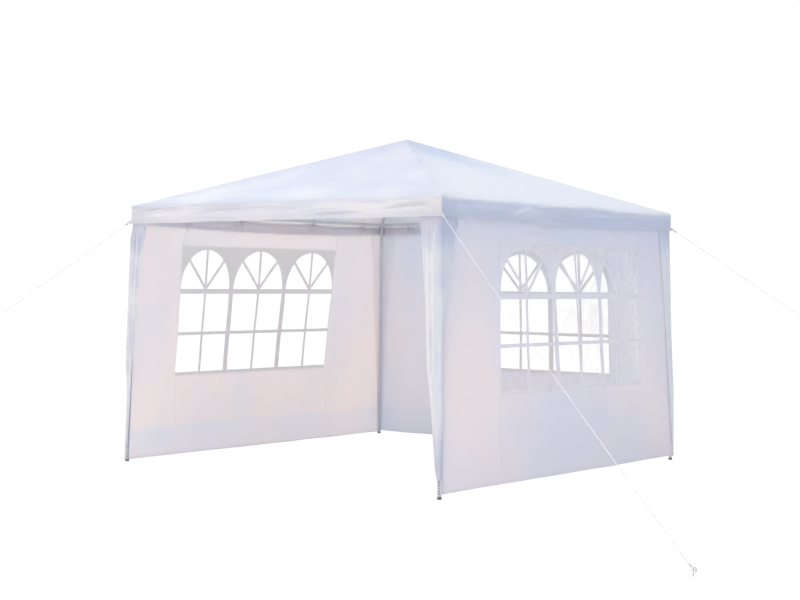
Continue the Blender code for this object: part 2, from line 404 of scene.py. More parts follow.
solidFinishes = {
    "greyCoat": {"base": (0.68, 0.69, 0.72), "mark": (0.58, 0.59, 0.62), "rough": 0.30,
                 "metal": 0.0, "grain": 700.0, "depth": 0.00005, "marks": (0.58, 0.80)},
    # a darker copy of the grey coat for the front legs: painted shade on their feet among the drapes
    "frontLegShadedCoat": {"base": (0.50, 0.52, 0.57), "mark": (0.42, 0.43, 0.48), "rough": 0.34,
                     "metal": 0.0, "grain": 700.0, "depth": 0.00005, "marks": (0.58, 0.80)},
    "zincSteel": {"base": (0.60, 0.61, 0.63), "mark": (0.42, 0.42, 0.43), "rough": 0.36,
                  "metal": 1.0, "grain": 500.0, "depth": 0.00006, "marks": (0.45, 0.70)},
    "footPlastic": {"base": (0.13, 0.13, 0.11), "mark": (0.24, 0.23, 0.20), "rough": 0.58,
                    "metal": 0.0, "grain": 900.0, "depth": 0.00008, "marks": (0.50, 0.75)},
    "ropeFibre": {"base": (0.88, 0.89, 0.92), "mark": (0.70, 0.71, 0.76), "rough": 0.80,
                  "metal": 0.0, "grain": 1600.0, "depth": 0.00012, "marks": (0.45, 0.75)},
    "thread": {"base": (0.90, 0.90, 0.92), "mark": (0.82, 0.82, 0.85), "rough": 0.75,
               "metal": 0.0, "grain": 2200.0, "depth": 0.00004, "marks": (0.40, 0.70)},
    # grey-blue and darker than the ropes: the ties' own colour, partly painted shade at the tie points on
    # the tube
    "tieTape": {"base": (0.66, 0.66, 0.71), "mark": (0.52, 0.52, 0.58), "rough": 0.70,
                "metal": 0.0, "grain": 1300.0, "depth": 0.00008, "marks": (0.40, 0.70)},
}


smudges = {"scale": 34.0, "detail": 4.0, "roughness": 0.6, "dulling": 0.2, "grainDetail": 2.0}


def makeSolid(name):
    # a plain finish with a fine grain and faint smudges
    finish = solidFinishes[name]
    material, bench = newMaterial(name)
    place = bench.node("ShaderNodeTexCoord")["Object"]
    grain = bench.noise(place, finish["grain"], smudges["grainDetail"])
    cloud = bench.noise(place, smudges["scale"], smudges["detail"], Roughness=smudges["roughness"])
    marks = bench.ramp(cloud, *finish["marks"])
    closeMaterial(bench, bench.node("ShaderNodeBsdfPrincipled", {
        "Base Color": bench.blendColours(marks, finish["base"], finish["mark"]),
        "Roughness": marks * smudges["dulling"] + finish["rough"], "Metallic": finish["metal"],
        "Normal": bench.bump(grain * finish["depth"]),
    })[0])
    return material


finishes = {name: makeCloth(name) for name in clothFinishes}
finishes.update({name: makeSolid(name) for name in solidFinishes})
finishes["clearFilm"] = makeFilm()
print("finishes made:", len(finishes))


# Making pieces


def newObject(name, data):
    made = bpy.data.objects.new(name, data)
    bpy.context.scene.collection.objects.link(made)
    return made


def storeValues(mesh, name, values):
    # a number or a vector for each point
    values = np.asarray(values, np.float32)
    kind, key = ("FLOAT", "value") if values.ndim == 1 else ("FLOAT_VECTOR", "vector")
    mesh.attributes.new(name, kind, "POINT").data.foreach_set(key, values.ravel())


def readThrees(collection, key, each=3, kind=float):
    # what a mesh's points or corners hold, as rows of three
    values = np.empty(len(collection) * each, kind)
    collection.foreach_get(key, values)
    return values.reshape(-1, 3)


def makeMesh(name, points, faces, **stored):
    mesh = bpy.data.meshes.new(name)
    mesh.from_pydata(np.asarray(points, float).tolist(), [], [list(map(int, f)) for f in faces])
    for key, values in stored.items():
        storeValues(mesh, key, values)
    mesh.shade_smooth()
    return mesh


def markEdges(mesh):
    # a sheet's open edges stay crisp, so that the rim of its thickness is shaded on its own
    sides = np.empty(len(mesh.loops), int)
    mesh.loops.foreach_get("edge_index", sides)
    used = np.bincount(sides, minlength=len(mesh.edges))
    sharp = mesh.attributes.get("sharp_edge") or mesh.attributes.new("sharp_edge", "BOOLEAN", "EDGE")
    sharp.data.foreach_set("value", used == 1)


def addPiece(name, mesh, finish, replaced=(), thickness=0.0):
    if thickness:
        markEdges(mesh)
    piece = newObject(name, mesh)
    if not mesh.materials:
        mesh.materials.append(finishes[finish])
    if thickness:
        solid = piece.modifiers.new("thickness", "SOLIDIFY")
        solid.thickness = thickness
        solid.offset = 0.0
    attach(piece, "root")
    if replaced:
        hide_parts(*replaced)
    return piece


def gridFaces(rows, columns):
    index = np.arange(rows * columns).reshape(rows, columns)
    corners = [index[:-1, :-1], index[:-1, 1:], index[1:, 1:], index[1:, :-1]]
    return np.stack(corners, axis=-1).reshape(-1, 4)


def gridOf(a, b):
    # every pair of places, row by row, and the faces between them
    gridA, gridB = (places.ravel() for places in np.meshgrid(a, b))
    return gridA, gridB, gridFaces(len(b), len(a))


def dropUnused(points, faces):
    used, renamed = np.unique(faces, return_inverse=True)
    return points[used], renamed.reshape(faces.shape)


def bakeNodes(name, tree, values, mesh=None):
    # runs a geometry tree on a mesh once and gives the plain mesh that comes out
    holder = newObject(name, mesh or bpy.data.meshes.new(name))
    step = holder.modifiers.new("nodes", "NODES")
    step.node_group = tree
    sockets = {item.name: item.identifier for item in tree.interface.items_tree
               if item.item_type == "SOCKET" and item.in_out == "INPUT"}
    for key, value in values.items():
        step[sockets[key]] = value
    bpy.context.view_layer.update()
    graph = bpy.context.evaluated_depsgraph_get()
    made = bpy.data.meshes.new_from_object(holder.evaluated_get(graph), depsgraph=graph)
    made.name = name
    bpy.data.objects.remove(holder)
    return made


def newTree(name, inputs):
    # a geometry tree with named inputs, listed for each kind of socket
    tree = bpy.data.node_groups.new(name, "GeometryNodeTree")
    tree.interface.new_socket("Geometry", in_out="INPUT", socket_type="NodeSocketGeometry")
    for kind, labels in inputs.items():
        for label in labels:
            tree.interface.new_socket(label, in_out="INPUT", socket_type=f"NodeSocket{kind}")
    tree.interface.new_socket("Geometry", in_out="OUTPUT", socket_type="NodeSocketGeometry")
    bench = Bench(tree)
    return tree, bench, bench.node("NodeGroupInput")


def closeTree(bench, geometry, material):
    whole = bench.node("GeometryNodeRealizeInstances", {0: geometry})[0]
    dressed = bench.node("GeometryNodeSetMaterial", {"Geometry": whole, "Material": material})
    bench.node("NodeGroupOutput", {0: dressed[0]})


def linesMesh(name, lines, facing=None):
    # open lines as bare edges, each with the direction that it faces
    points, edges, faces = [], [], []
    for i, line in enumerate(lines):
        first = len(points)
        points += [tuple(map(float, point)) for point in line]
        edges += [(first + k, first + k + 1) for k in range(len(line) - 1)]
        faces += [(facing[i] if facing else (0.0, 0.0, 1.0))] * len(line)
    mesh = bpy.data.meshes.new(name)
    mesh.from_pydata(points, edges, [])
    storeValues(mesh, "facing", faces)
    return mesh


def makeCordTree():
    # three strands laid round each other along every line
    tree, bench, given = newTree("twistedCord", {
        "Float": ("Strand radius", "Lay", "Step"), "Int": ("Sides",), "Material": ("Fibre",),
    })
    strands = bench.node("GeometryNodeDuplicateElements", {
        "Geometry": bench.evenLine(given["Geometry"], given["Step"]), "Amount": 3,
    }, domain="SPLINE")
    along = bench.node("GeometryNodeSplineParameter")["Length"]
    angle = along * math.tau / given["Lay"] + strands["Duplicate Index"] * (math.tau / 3)
    normal = bench.node("GeometryNodeInputNormal")[0]
    aside = bench.maths("CROSS_PRODUCT", bench.node("GeometryNodeInputTangent")[0], normal)
    reach = given["Strand radius"] * (2 / math.sqrt(3))
    offset = (normal * bench.maths("COSINE", angle) + aside * bench.maths("SINE", angle)) * reach
    laid = bench.node("GeometryNodeSetPosition", {"Geometry": strands[0], "Offset": offset})[0]
    closeTree(bench, bench.rod(laid, given["Sides"], given["Strand radius"]), given["Fibre"])
    return tree


def makeStitchTree():
    # short through-stitches at an even pitch along every line
    tree, bench, given = newTree("stitchRow", {
        "Float": ("Pitch", "Length", "Width", "Depth"), "Material": ("Thread",),
    })
    lying = bench.aimed("Z", bench.node("GeometryNodeInputTangent")[0])
    turned = bench.aimed("X", bench.facing(), pivot="Z", Rotation=lying)
    stitchRod = bench.node("GeometryNodeMeshCylinder", {
        "Vertices": 4, "Side Segments": 1, "Fill Segments": 1, "Radius": 1.0, "Depth": 1.0,
    })["Mesh"]
    row = bench.node("GeometryNodeInstanceOnPoints", {
        "Points": bench.evenLine(given["Geometry"], given["Pitch"]), "Instance": stitchRod,
        "Rotation": turned, "Scale": bench.join(given["Depth"], given["Width"], given["Length"]),
    })[0]
    closeTree(bench, row, given["Thread"])
    return tree


def makeEyeletTree():
    # pressed metal eyelets on points, each turned to face outwards
    tree, bench, given = newTree("eyelets", {
        "Float": ("Radius", "Rim"), "Int": ("Ring sides", "Rim sides"), "Material": ("Metal",),
    })
    spots = bench.node("GeometryNodeMeshToPoints", {"Mesh": given["Geometry"]})[0]
    ring = bench.circle(given["Ring sides"], given["Radius"])
    placed = bench.node("GeometryNodeInstanceOnPoints", {
        "Points": spots, "Instance": bench.rod(ring, given["Rim sides"], given["Rim"]),
        "Rotation": bench.aimed("Z", bench.facing()),
    })[0]
    closeTree(bench, placed, given["Metal"])
    return tree


cordTree, stitchTree, eyeletTree = makeCordTree(), makeStitchTree(), makeEyeletTree()
stitch = {"Pitch": 0.0080, "Length": 0.0052, "Width": 0.00045, "Depth": 0.0016}
eyelet = {"Radius": 0.0062, "Rim": 0.0018, "Ring sides": 18, "Rim sides": 8}


def makeStitches(name, lines, facing):
    values = {**stitch, "Thread": finishes["thread"]}
    return bakeNodes(name, stitchTree, values, linesMesh(name, lines, facing))


def makeCord(name, lines, cord, fibre):
    mesh = bakeNodes(name, cordTree, {
        "Strand radius": cord["radius"] / (1 + 2 / math.sqrt(3)), "Lay": cord["lay"],
        "Step": cord["step"], "Sides": cord["sides"], "Fibre": finishes[fibre],
    }, linesMesh(name, lines))
    mesh.shade_smooth()
    return mesh


def sideFacing(side):
    x, y, _ = onSide(side, 0.0, 1.0, 0.0, splay=False)
    return (float(x), float(y), 0.0)


# Camera, light and floor

camera = {"lens": 68.27, "sensor": 36.0, "place": (7.436, -9.246, 1.398),
          "azimuth": 39.01, "elevation": 0.69, "roll": 0.56}
# Soft light from all round, and wide soft lights: where each comes from, its spread in degrees and
# its red, green and blue
light = {
    "around": (0.47, 0.45, 0.53), "floor": (0.88, 0.88, 0.90), "white": 1.05,
    "floorReach": 40.0, "floorHeight": -0.001,
    "soft": {
        "top": {"from": (0.06, 0.03, 1.0), "spread": 100, "rgb": (1.55, 1.93, 1.99)},
        "frontLeft": {"from": (-0.50, -0.80, 0.35), "spread": 50, "rgb": (1.02, 0.72, 0.40)},
        "leftBack": {"from": (-0.90, 0.40, 0.12), "spread": 50, "rgb": (1.74, 1.57, 1.01)},
    },
}


def aim(obj, place, azimuth, elevation, roll=0.0):
    a, e, r = (math.radians(v) for v in (azimuth, elevation, roll))
    back = Vector((math.sin(a) * math.cos(e), -math.cos(a) * math.cos(e), math.sin(e)))
    right = Vector((math.cos(a), math.sin(a), 0.0))
    up = back.cross(right)
    right, up = right * math.cos(r) + up * math.sin(r), up * math.cos(r) - right * math.sin(r)
    turned = Matrix((right, up, back)).transposed().to_4x4()
    obj.matrix_world = Matrix.Translation(place) @ turned


def addCamera():
    data = bpy.data.cameras.new("view")
    data.lens, data.sensor_width = camera["lens"], camera["sensor"]
    obj = newObject("view", data)
    aim(obj, camera["place"], camera["azimuth"], camera["elevation"], camera["roll"])
    bpy.context.scene.camera = obj


def addSoftLight(name):
    settings = light["soft"][name]
    data = bpy.data.lights.new(name, "SUN")
    data.angle = math.radians(settings["spread"])
    data.energy = max(settings["rgb"])
    data.color = [value / data.energy for value in settings["rgb"]]
    obj = newObject(name, data)
    obj.rotation_euler = Vector(settings["from"]).to_track_quat("Z", "Y").to_euler()


def addWorld():
    # what the camera sees behind the tent is pure white, what lights it is softer
    world = bpy.data.worlds.new("studio")
    world.use_nodes = True
    world.node_tree.nodes.clear()
    bench = Bench(world.node_tree)
    seen = bench.node("ShaderNodeLightPath")["Is Camera Ray"]
    lit = bench.node("ShaderNodeBackground", {0: (*light["around"], 1.0), 1: 1.0})[0]
    white = bench.node("ShaderNodeBackground", {0: (1, 1, 1, 1), 1: light["white"]})[0]
    bench.node("ShaderNodeOutputWorld", {0: bench.blendShaders(seen, lit, white)})
    bpy.context.scene.world = world
    bpy.context.scene.view_settings.view_transform = "Standard"


def addFloor():
    # pure white to the camera, and a pale grey to the light that it throws back
    reach, height = light["floorReach"], light["floorHeight"]
    corners = [(x * reach, y * reach, height) for x, y in ((-1, -1), (1, -1), (1, 1), (-1, 1))]
    floor = newObject("floor", makeMesh("floor", corners, [(0, 1, 2, 3)]))
    material, bench = newMaterial("floorWhite")
    seen = bench.node("ShaderNodeLightPath")["Is Camera Ray"]
    pale = bench.node("ShaderNodeBsdfDiffuse", {0: (*light["floor"], 1.0)})[0]
    white = bench.node("ShaderNodeEmission", {0: (1, 1, 1, 1), 1: light["white"]})[0]
    closeMaterial(bench, bench.blendShaders(seen, pale, white))
    floor.data.materials.append(material)


addCamera()
addWorld()
addFloor()
for lightName in light["soft"]:
    addSoftLight(lightName)
print("camera and light set")


# Canopy: one sheet over the frame, folded down into the valance

canopy = {
    "roofCells": 84, "valanceRows": 22, "hemRows": 4, "crowding": 1.34, "eaveRound": 0.008,
    "eaveDip": 0.40, "thickness": 0.0008, "hemThickness": 0.0022, "inset": 0.0012, "seed": 5,
    "weld": 0.0004,
}


def canopyTree():
    tree, bench, given = newTree("canopySheet", {
        "Float": ("Half", "Apex", "Eave", "Foot", "Crowding", "Eave round", "Eave dip"),
        "Int": ("Roof cells", "Valance rows"), "Material": ("Cloth",),
    })
    cells, rows = given["Roof cells"], given["Valance rows"]
    side = (cells + rows) * 2.0 + 1.0
    size = (cells + rows) * 2.0 / cells
    grid = bench.node("GeometryNodeMeshGrid", {
        "Size X": size, "Size Y": size, "Vertices X": side, "Vertices Y": side,
    })
    axes = bench.split(bench.node("GeometryNodeInputPosition")[0])
    absX, absY = abs(axes["X"]), abs(axes["Y"])
    # the squares beyond both eaves would be the corners' waste: they are cut away
    waste = bench.maths("MINIMUM", absX, absY) > 1.0
    cut = bench.node("GeometryNodeDeleteGeometry", {"Geometry": grid["Mesh"], "Selection": waste},
                     domain="FACE")[0]

    def crowded(value):
        # cells get smaller towards the eave
        share = 1.0 - (1.0 - bench.maths("MINIMUM", abs(value), 1.0)) ** given["Crowding"]
        return share * bench.maths("SIGN", value)

    planX, planY = crowded(axes["X"]) * given["Half"], crowded(axes["Y"]) * given["Half"]
    reach = bench.maths("MAXIMUM", abs(planX), abs(planY))
    slope = (given["Apex"] - given["Eave"]) / given["Half"]
    turn = (reach - (given["Half"] - given["Eave round"])) / given["Eave round"]
    turn = bench.maths("MINIMUM", bench.maths("MAXIMUM", turn, 0.0), 1.0)
    bend = 1.0 - bench.maths("SQRT", 1.0 - turn * turn)
    dip = given["Eave round"] * given["Eave dip"]
    below = bench.maths("MAXIMUM", bench.maths("MAXIMUM", absX, absY) - 1.0, 0.0) * cells / rows
    height = given["Apex"] - reach * slope - bend * dip
    height = height - below * (given["Eave"] - dip - given["Foot"])
    flat = bench.join(axes["X"] * given["Half"], axes["Y"] * given["Half"])
    noted = bench.node("GeometryNodeStoreNamedAttribute",
                       {"Geometry": cut, "Name": "flat", "Value": flat},
                       data_type="FLOAT_VECTOR", domain="POINT")[0]
    folded = bench.node("GeometryNodeSetPosition",
                        {"Geometry": noted, "Position": bench.join(planX, planY, height)})[0]
    sewn = bench.node("GeometryNodeMergeByDistance", {"Geometry": folded, "Distance": canopy["weld"]})[0]
    parted = bench.node("GeometryNodeTriangulate", {0: sewn}, quad_method="LONGEST_DIAGONAL")[0]
    closeTree(bench, parted, given["Cloth"])
    return tree


# How far the roof sags and crumples, how far each form reaches, and how far it keeps from the hips,
# the eave or the sheet's end
roofShape = {
    "sag": 0.013, "sagReach": 0.45, "hipEase": 0.22, "eaveBand": (0.70, 0.55), "crumpleReach": 0.15,
    "crumpleClear": 0.02, "crumpleEnd": 0.10, "rimBand": (-0.09, 0.06), "rimEnds": 0.12,
    "edgeBand": (-0.012, 0.012),
    "drag": {"height": 0.0040, "rays": 22, "reach": 0.30, "clear": 0.05, "ease": 0.02},
    "dragTurn": 1.7, "dragClear": 0.06,
    "pucker": {"height": 0.0030, "rays": 18, "reach": 0.22, "clear": 0.001, "ease": 0.0},
    "puckerClear": 0.05,
}
roofRelief = (
    ("eave", smoothNoise, 0.0042, (1.5, 0.0, 0.0), (0.0, 10.0, 0.0), 0),
    ("roof", smoothNoise, 0.0040, (2.6, 0.0, 0.0), (0.0, 3.4, 0.0), 1),
    ("roof", creases, 0.0016, (5.0, 0.0, 0.0), (0.0, 8.0, 0.0), 2),
    ("roof", creases, 0.0007, (13.0, 0.0, 0.0), (0.0, 17.0, 0.0), 8),
    ("hips", creases, 0.0062, (5.0, 3.0, 0.0), (-4.0, 9.0, 0.0), 9),
    ("rim", smoothNoise, 0.0045, (2.4, 0.0, 0.0), (0.0, 0.0, 9.5), 12),
)
valanceShape = {
    "flare": 0.0035, "ends": 0.05, "calmEnds": 0.22, "leanPower": 0.6, "room": 0.0008,
    "moreRoom": 0.0042, "roomBand": (0.14, 0.08), "roundBand": (-0.030, 0.030),
    "dropBand": (-0.085, 0.085), "dropShare": 0.75,
}
valanceRelief = {
    "gathers": (
        ("cloth", smoothNoise, 0.0085, (1.9, 0.0, 0.0), (0.0, 0.4, 0.0), 3),
        ("cloth", smoothNoise, 0.0045, (6.5, 0.0, 0.0), (0.0, 1.3, 0.0), 4),
    ),
    "levelWrinkles": (
        ("cloth", smoothNoise, 0.0030, (1.4, 0.0, 7.0), (0.0, 34.0, 0.0), 5),
        ("cloth", creases, 0.0034, (3.2, 0.0, 0.0), (1.5, 21.0, 0.0), 6),
    ),
    "wavyHem": (("cloth", smoothNoise, 0.0035, (3.1, 0.0, 0.0), (0.0, 0.0, 5.5), 7),),
}
# A fold bows a little, fades towards both ends, and falls off faster on one side than on the other
foldShape = {"depth": 2.8, "width": 0.80, "bow": 0.008, "fade": 0.3, "steep": 0.55, "gentle": 1.25,
             "fallOff": 1.4}


def foldsAt(side, u, z):
    # how far the folds push the cloth out: soft across, fading towards both ends
    shape, push = foldShape, np.zeros_like(u)
    for startU, startZ, endU, endZ, depth, width, sign in valanceFolds[side]:
        length = math.hypot(endU - startU, endZ - startZ)
        stepU, stepZ = (endU - startU) / length, (endZ - startZ) / length
        along = ((u - startU) * stepU + (z - startZ) * stepZ) / length
        bow = shape["bow"] * np.sin(math.pi * np.clip(along, 0, 1))
        aside = (u - startU) * -stepZ + (z - startZ) * stepU - bow
        fade = smoothStep(along / shape["fade"]) * smoothStep((1 - along) / shape["fade"])
        reach = np.where(aside * sign > 0, shape["steep"], shape["gentle"]) * width * shape["width"]
        ridge = np.exp(-np.abs(aside / reach) ** shape["fallOff"])
        push = push + sign * shape["depth"] * depth * fade * ridge
    return push


def roofRise(number, u, out, lane):
    # a slight sag, long soft waves along the eave, drag lines from the corners and from the top
    shape, half = roofShape, tent["half"]
    fromHip, fromEave, fromEnd = out - np.abs(u), half - out, half - np.abs(u)
    ease = smoothStep(fromHip / shape["hipEase"])
    hips = np.exp(-fromHip / shape["crumpleReach"]) * smoothStep(fromHip / shape["crumpleClear"])
    rise = -shape["sag"] * ease * smoothStep(fromEave / shape["sagReach"])
    rise = rise + relief(
        roofRelief, u, out, lane, roof=ease,
        eave=rising(out, *shape["eaveBand"]) * ease,
        hips=hips * smoothStep(fromEave / shape["crumpleEnd"]),
        rim=rising(out - half, *shape["rimBand"]) * smoothStep(fromEnd / shape["rimEnds"]))
    for sign in (-1, 1):
        fan = rays(shape["drag"], fromEave, half - sign * u, shape["dragTurn"] * number + sign)
        rise = rise + fan * smoothStep(fromHip / shape["dragClear"])
    return rise + rays(shape["pucker"], u, out, number) * smoothStep(fromHip / shape["puckerClear"])


def valanceSwing(side, u, height, below, lane):
    # soft gathers that grow towards the hem, long level wrinkles, folds, and a lean outwards
    shape, hang, fromEnd = valanceShape, canopyHang[side], tent["half"] - np.abs(u)
    swing = shape["flare"] * below + relief(valanceRelief["gathers"], u, below, lane, cloth=below)
    swing = swing + relief(valanceRelief["levelWrinkles"], u, height, lane, cloth=1.0)
    swing = (swing + foldsAt(side, u, height)) * hang["loose"]
    swing = swing + hang["lean"] * below ** shape["leanPower"] * smoothStep(fromEnd / shape["calmEnds"])
    room = shape["room"] + shape["moreRoom"] * rising(fromEnd, *shape["roomBand"])
    return np.maximum(swing, -room) * smoothStep(fromEnd / shape["ends"])


def wrinkleCanopy(points):
    half, shape = tent["half"], valanceShape
    x, y, z = points.T
    numbers = sideNumbers(x, y)
    slope = math.atan2(tent["apex"] - tent["eave"], half)
    valanceTop = tent["eave"] - canopy["eaveRound"] * canopy["eaveDip"]
    moved = points.copy()
    for i, side in enumerate(sideTurn):
        mine = numbers == i
        u, out = fromSide(side, x[mine], y[mine])
        height, hang, lane = z[mine], canopyHang[side], canopy["seed"] + 10 * i
        below = np.clip((valanceTop - height) / (valanceTop - tent["valanceFoot"]), 0, 1)
        onRoof = 1 - rising(out - half, *roofShape["edgeBand"])
        rise = roofRise(i, u, out, lane) * onRoof
        swing = valanceSwing(side, u, height, below, lane) * (1 - onRoof)
        # the eave is rounded off along its middle and sharp at the corners
        fromEnd = half - np.abs(u)
        rounding = hang["round"] * smoothStep(fromEnd / shape["calmEnds"]) * (1 - below) ** 2
        swing = swing - rounding * rising(out - half, *shape["roundBand"])
        drop = shape["dropShare"] * rounding * rising(out - half, *shape["dropBand"])
        lift = hang["lift"] * np.sin(math.pi * (u + half) / (2 * half)) * below
        lift = lift + relief(valanceRelief["wavyHem"], u, height, lane,
                             cloth=below * smoothStep(fromEnd / shape["ends"]))
        moved[mine] = onSide(side, u, out + rise * math.sin(slope) + swing,
                             height + rise * math.cos(slope) + lift - drop, splay=False)
    return moved


canopyHang = {
    "front": {"lift": 0.002, "lean": 0.012, "round": 0.013, "loose": 1.0},
    "right": {"lift": -0.014, "lean": 0.001, "round": 0.011, "loose": 1.0},
    "back": {"lift": -0.010, "lean": 0.000, "round": 0.010, "loose": 0.5},
    "left": {"lift": -0.032, "lean": -0.002, "round": 0.010, "loose": 0.4},
}
# Folds in the valance and along the eave, as drag lines of the cloth on each side: where each starts
# and ends (along the side, height), how deep it is, how wide, and 1 for a ridge or -1 for a valley
valanceFolds = {
    "front": (
        (-1.46, 1.896, -1.10, 1.938, 0.0060, 0.016, -1), (-1.40, 1.925, -0.86, 1.950, 0.0045, 0.014, 1),
        (-0.93, 1.943, -0.45, 1.968, 0.0060, 0.016, -1), (-1.47, 1.860, -0.95, 1.880, 0.0045, 0.016, 1),
        (-0.80, 1.885, -0.25, 1.905, 0.0050, 0.018, -1), (-0.35, 1.935, 0.15, 1.925, 0.0040, 0.016, 1),
        (0.10, 1.868, 0.66, 1.912, 0.0055, 0.018, 1), (0.30, 1.842, 0.90, 1.858, 0.0060, 0.014, -1),
        (0.70, 1.930, 1.10, 1.915, 0.0045, 0.014, -1), (0.95, 1.872, 1.46, 1.905, 0.0060, 0.012, -1),
        (1.05, 1.915, 1.44, 1.930, 0.0045, 0.010, 1), (1.10, 1.945, 1.42, 1.972, 0.0040, 0.010, -1),
        (1.05, 1.852, 1.47, 1.872, 0.0050, 0.012, 1),
    ),
    "right": (
        (-1.484, 1.83, -1.484, 1.975, 0.0050, 0.012, -1), (-1.44, 1.936, -1.33, 1.956, 0.0060, 0.010, 1),
        (-1.40, 1.905, -1.05, 1.930, 0.0040, 0.016, -1),
        (-1.20, 1.952, -0.50, 1.940, 0.0090, 0.026, -1), (-0.74, 1.850, -0.44, 1.928, 0.0075, 0.026, 1),
        (-0.46, 1.926, 0.18, 1.948, 0.0065, 0.022, 1), (0.12, 1.938, 0.62, 1.912, 0.0065, 0.022, -1),
        (0.55, 1.935, 1.20, 1.950, 0.0055, 0.018, 1), (0.70, 1.880, 1.35, 1.890, 0.0045, 0.020, -1),
    ),
    "back": (
        (-1.45, 1.900, -1.00, 1.940, 0.0060, 0.018, -1), (-0.60, 1.860, -0.10, 1.920, 0.0065, 0.022, 1),
        (0.00, 1.945, 0.55, 1.930, 0.0060, 0.018, -1), (0.80, 1.880, 1.40, 1.925, 0.0060, 0.016, 1),
    ),
    "left": (
        (-1.44, 1.890, -0.90, 1.930, 0.0060, 0.016, 1), (-0.70, 1.935, -0.10, 1.950, 0.0060, 0.020, -1),
        (0.10, 1.850, 0.60, 1.915, 0.0070, 0.022, 1), (0.75, 1.925, 1.42, 1.890, 0.0060, 0.018, -1),
    ),
}


# Painted light and shade, as cooler or warmer cloth: on each side the roof, then the valance, the
# # shaded right valance cooler and the lit right roof warmer; painted shade round the top; a painted shadow
# # along the right valance's corner; and on each fold painted light on its ridge and painted shade in its
# # valley, for every metre that it stands out
canopyLightAndShade = {
    "sides": {"front": (-0.22, -0.04), "right": (0.25, -0.42), "back": (0.0, 0.40), "left": (0.0, 0.10)},
    "top": (-0.5, -1.1, -0.5, -0.5), "topReach": 0.45, "corner": -0.40, "cornerReach": 0.035,
    "fold": 8.0, "turnOver": 0.035,
}


def paintCanopyShade(points):
    # painted light and shade on the canopy, as a tint from cool to warm
    x, y, z = points.T
    numbers = sideNumbers(x, y)
    roof, valance = np.array(list(canopyLightAndShade["sides"].values()))[numbers].T
    under = smoothStep((tent["eave"] - z) / canopyLightAndShade["turnOver"])
    fromCorner = (y + tent["half"]) / canopyLightAndShade["cornerReach"]
    valance = valance + canopyLightAndShade["corner"] * np.exp(-fromCorner ** 2) * (numbers == 1)
    fromTop = np.hypot(x, y) / canopyLightAndShade["topReach"]
    roof = roof + np.array(canopyLightAndShade["top"])[numbers] * np.exp(-fromTop)
    tint = roof * (1 - under) + valance * under
    for i, side in enumerate(sideTurn):
        mine = numbers == i
        u, _ = fromSide(side, x[mine], y[mine])
        # painted light on the folds' ridges and painted shade in their valleys
        tint[mine] += canopyLightAndShade["fold"] * foldsAt(side, u, z[mine])
    return tint


def canopySeams(points, flat, faces):
    # the doubled hem of the valance, and the rows of stitches that follow it, the eaves and the hips
    half = tent["half"] - canopy["inset"]
    cell = half / canopy["roofCells"]
    reach = np.abs(flat).max(axis=1)
    hemLine = half + cell * (canopy["valanceRows"] - canopy["hemRows"])
    hem = faces[reach[faces].mean(axis=1) > hemLine + cell / 4]
    lines, facing = [], []

    def addRow(chosen, order, direction):
        row = np.flatnonzero(chosen)
        lines.append(points[row[np.argsort(order[row])]])
        facing.append(direction)

    for side in sideTurn:
        u, out = fromSide(side, flat[:, 0], flat[:, 1])
        for line in (half + cell, hemLine):
            addRow((np.abs(out - line) < cell / 4) & (np.abs(u) < half - cell / 2), u, sideFacing(side))
    for signX, signY in cornerSigns.values():
        along = (flat[:, 0] * signX + flat[:, 1] * signY) / 2
        apart = (flat[:, 0] * signX - flat[:, 1] * signY) / 2
        for shift in (-1, 1):
            near = np.abs(apart - shift * cell / 2) < cell / 4
            addRow(near & (along > cell) & (reach < half - cell), along, (0.0, 0.0, 1.0))
    return hem, lines, facing


def addCanopy():
    inset = canopy["inset"]
    mesh = bakeNodes("canopy", canopyTree(), {
        "Half": tent["half"] - inset, "Apex": tent["apex"] - inset, "Eave": tent["eave"],
        "Foot": tent["valanceFoot"], "Roof cells": canopy["roofCells"],
        "Valance rows": canopy["valanceRows"], "Crowding": canopy["crowding"],
        "Eave round": canopy["eaveRound"], "Eave dip": canopy["eaveDip"],
        "Cloth": finishes["canopyCloth"],
    })
    points = wrinkleCanopy(readThrees(mesh.vertices, "co"))
    mesh.vertices.foreach_set("co", points.ravel())
    mesh.shade_smooth()
    storeValues(mesh, "tint", paintCanopyShade(points))
    flat = readThrees(mesh.attributes["flat"].data, "vector")
    faces = readThrees(mesh.loops, "vertex_index", each=1, kind=int)
    hemFaces, lines, facing = canopySeams(points, flat, faces)
    both, hemFaces = dropUnused(np.hstack([points, flat]), hemFaces)
    hemMesh = makeMesh("canopyHem", both[:, :3], hemFaces, flat=both[:, 3:])
    hem = addPiece("canopy_hem", hemMesh, "seamCloth", thickness=canopy["hemThickness"])
    stitches = addPiece("canopy_stitches", makeStitches("canopyStitches", lines, facing),
                        "thread")
    replaced = [f"{kind}_{side}" for side in sideTurn for kind in ("roof_panel", "valance")]
    piece = addPiece("canopy", mesh, "canopyCloth", replaced, canopy["thickness"])
    drop = tent["eave"] - tent["valanceFoot"]
    slant = math.hypot(tent["half"], tent["apex"] - tent["eave"])
    across = 2 * (slant + drop)
    area = 4 * slant * tent["half"] + 8 * tent["half"] * drop


addCanopy()
print("canopy made")


# Walls: cloth, window bars and film share one way of hanging

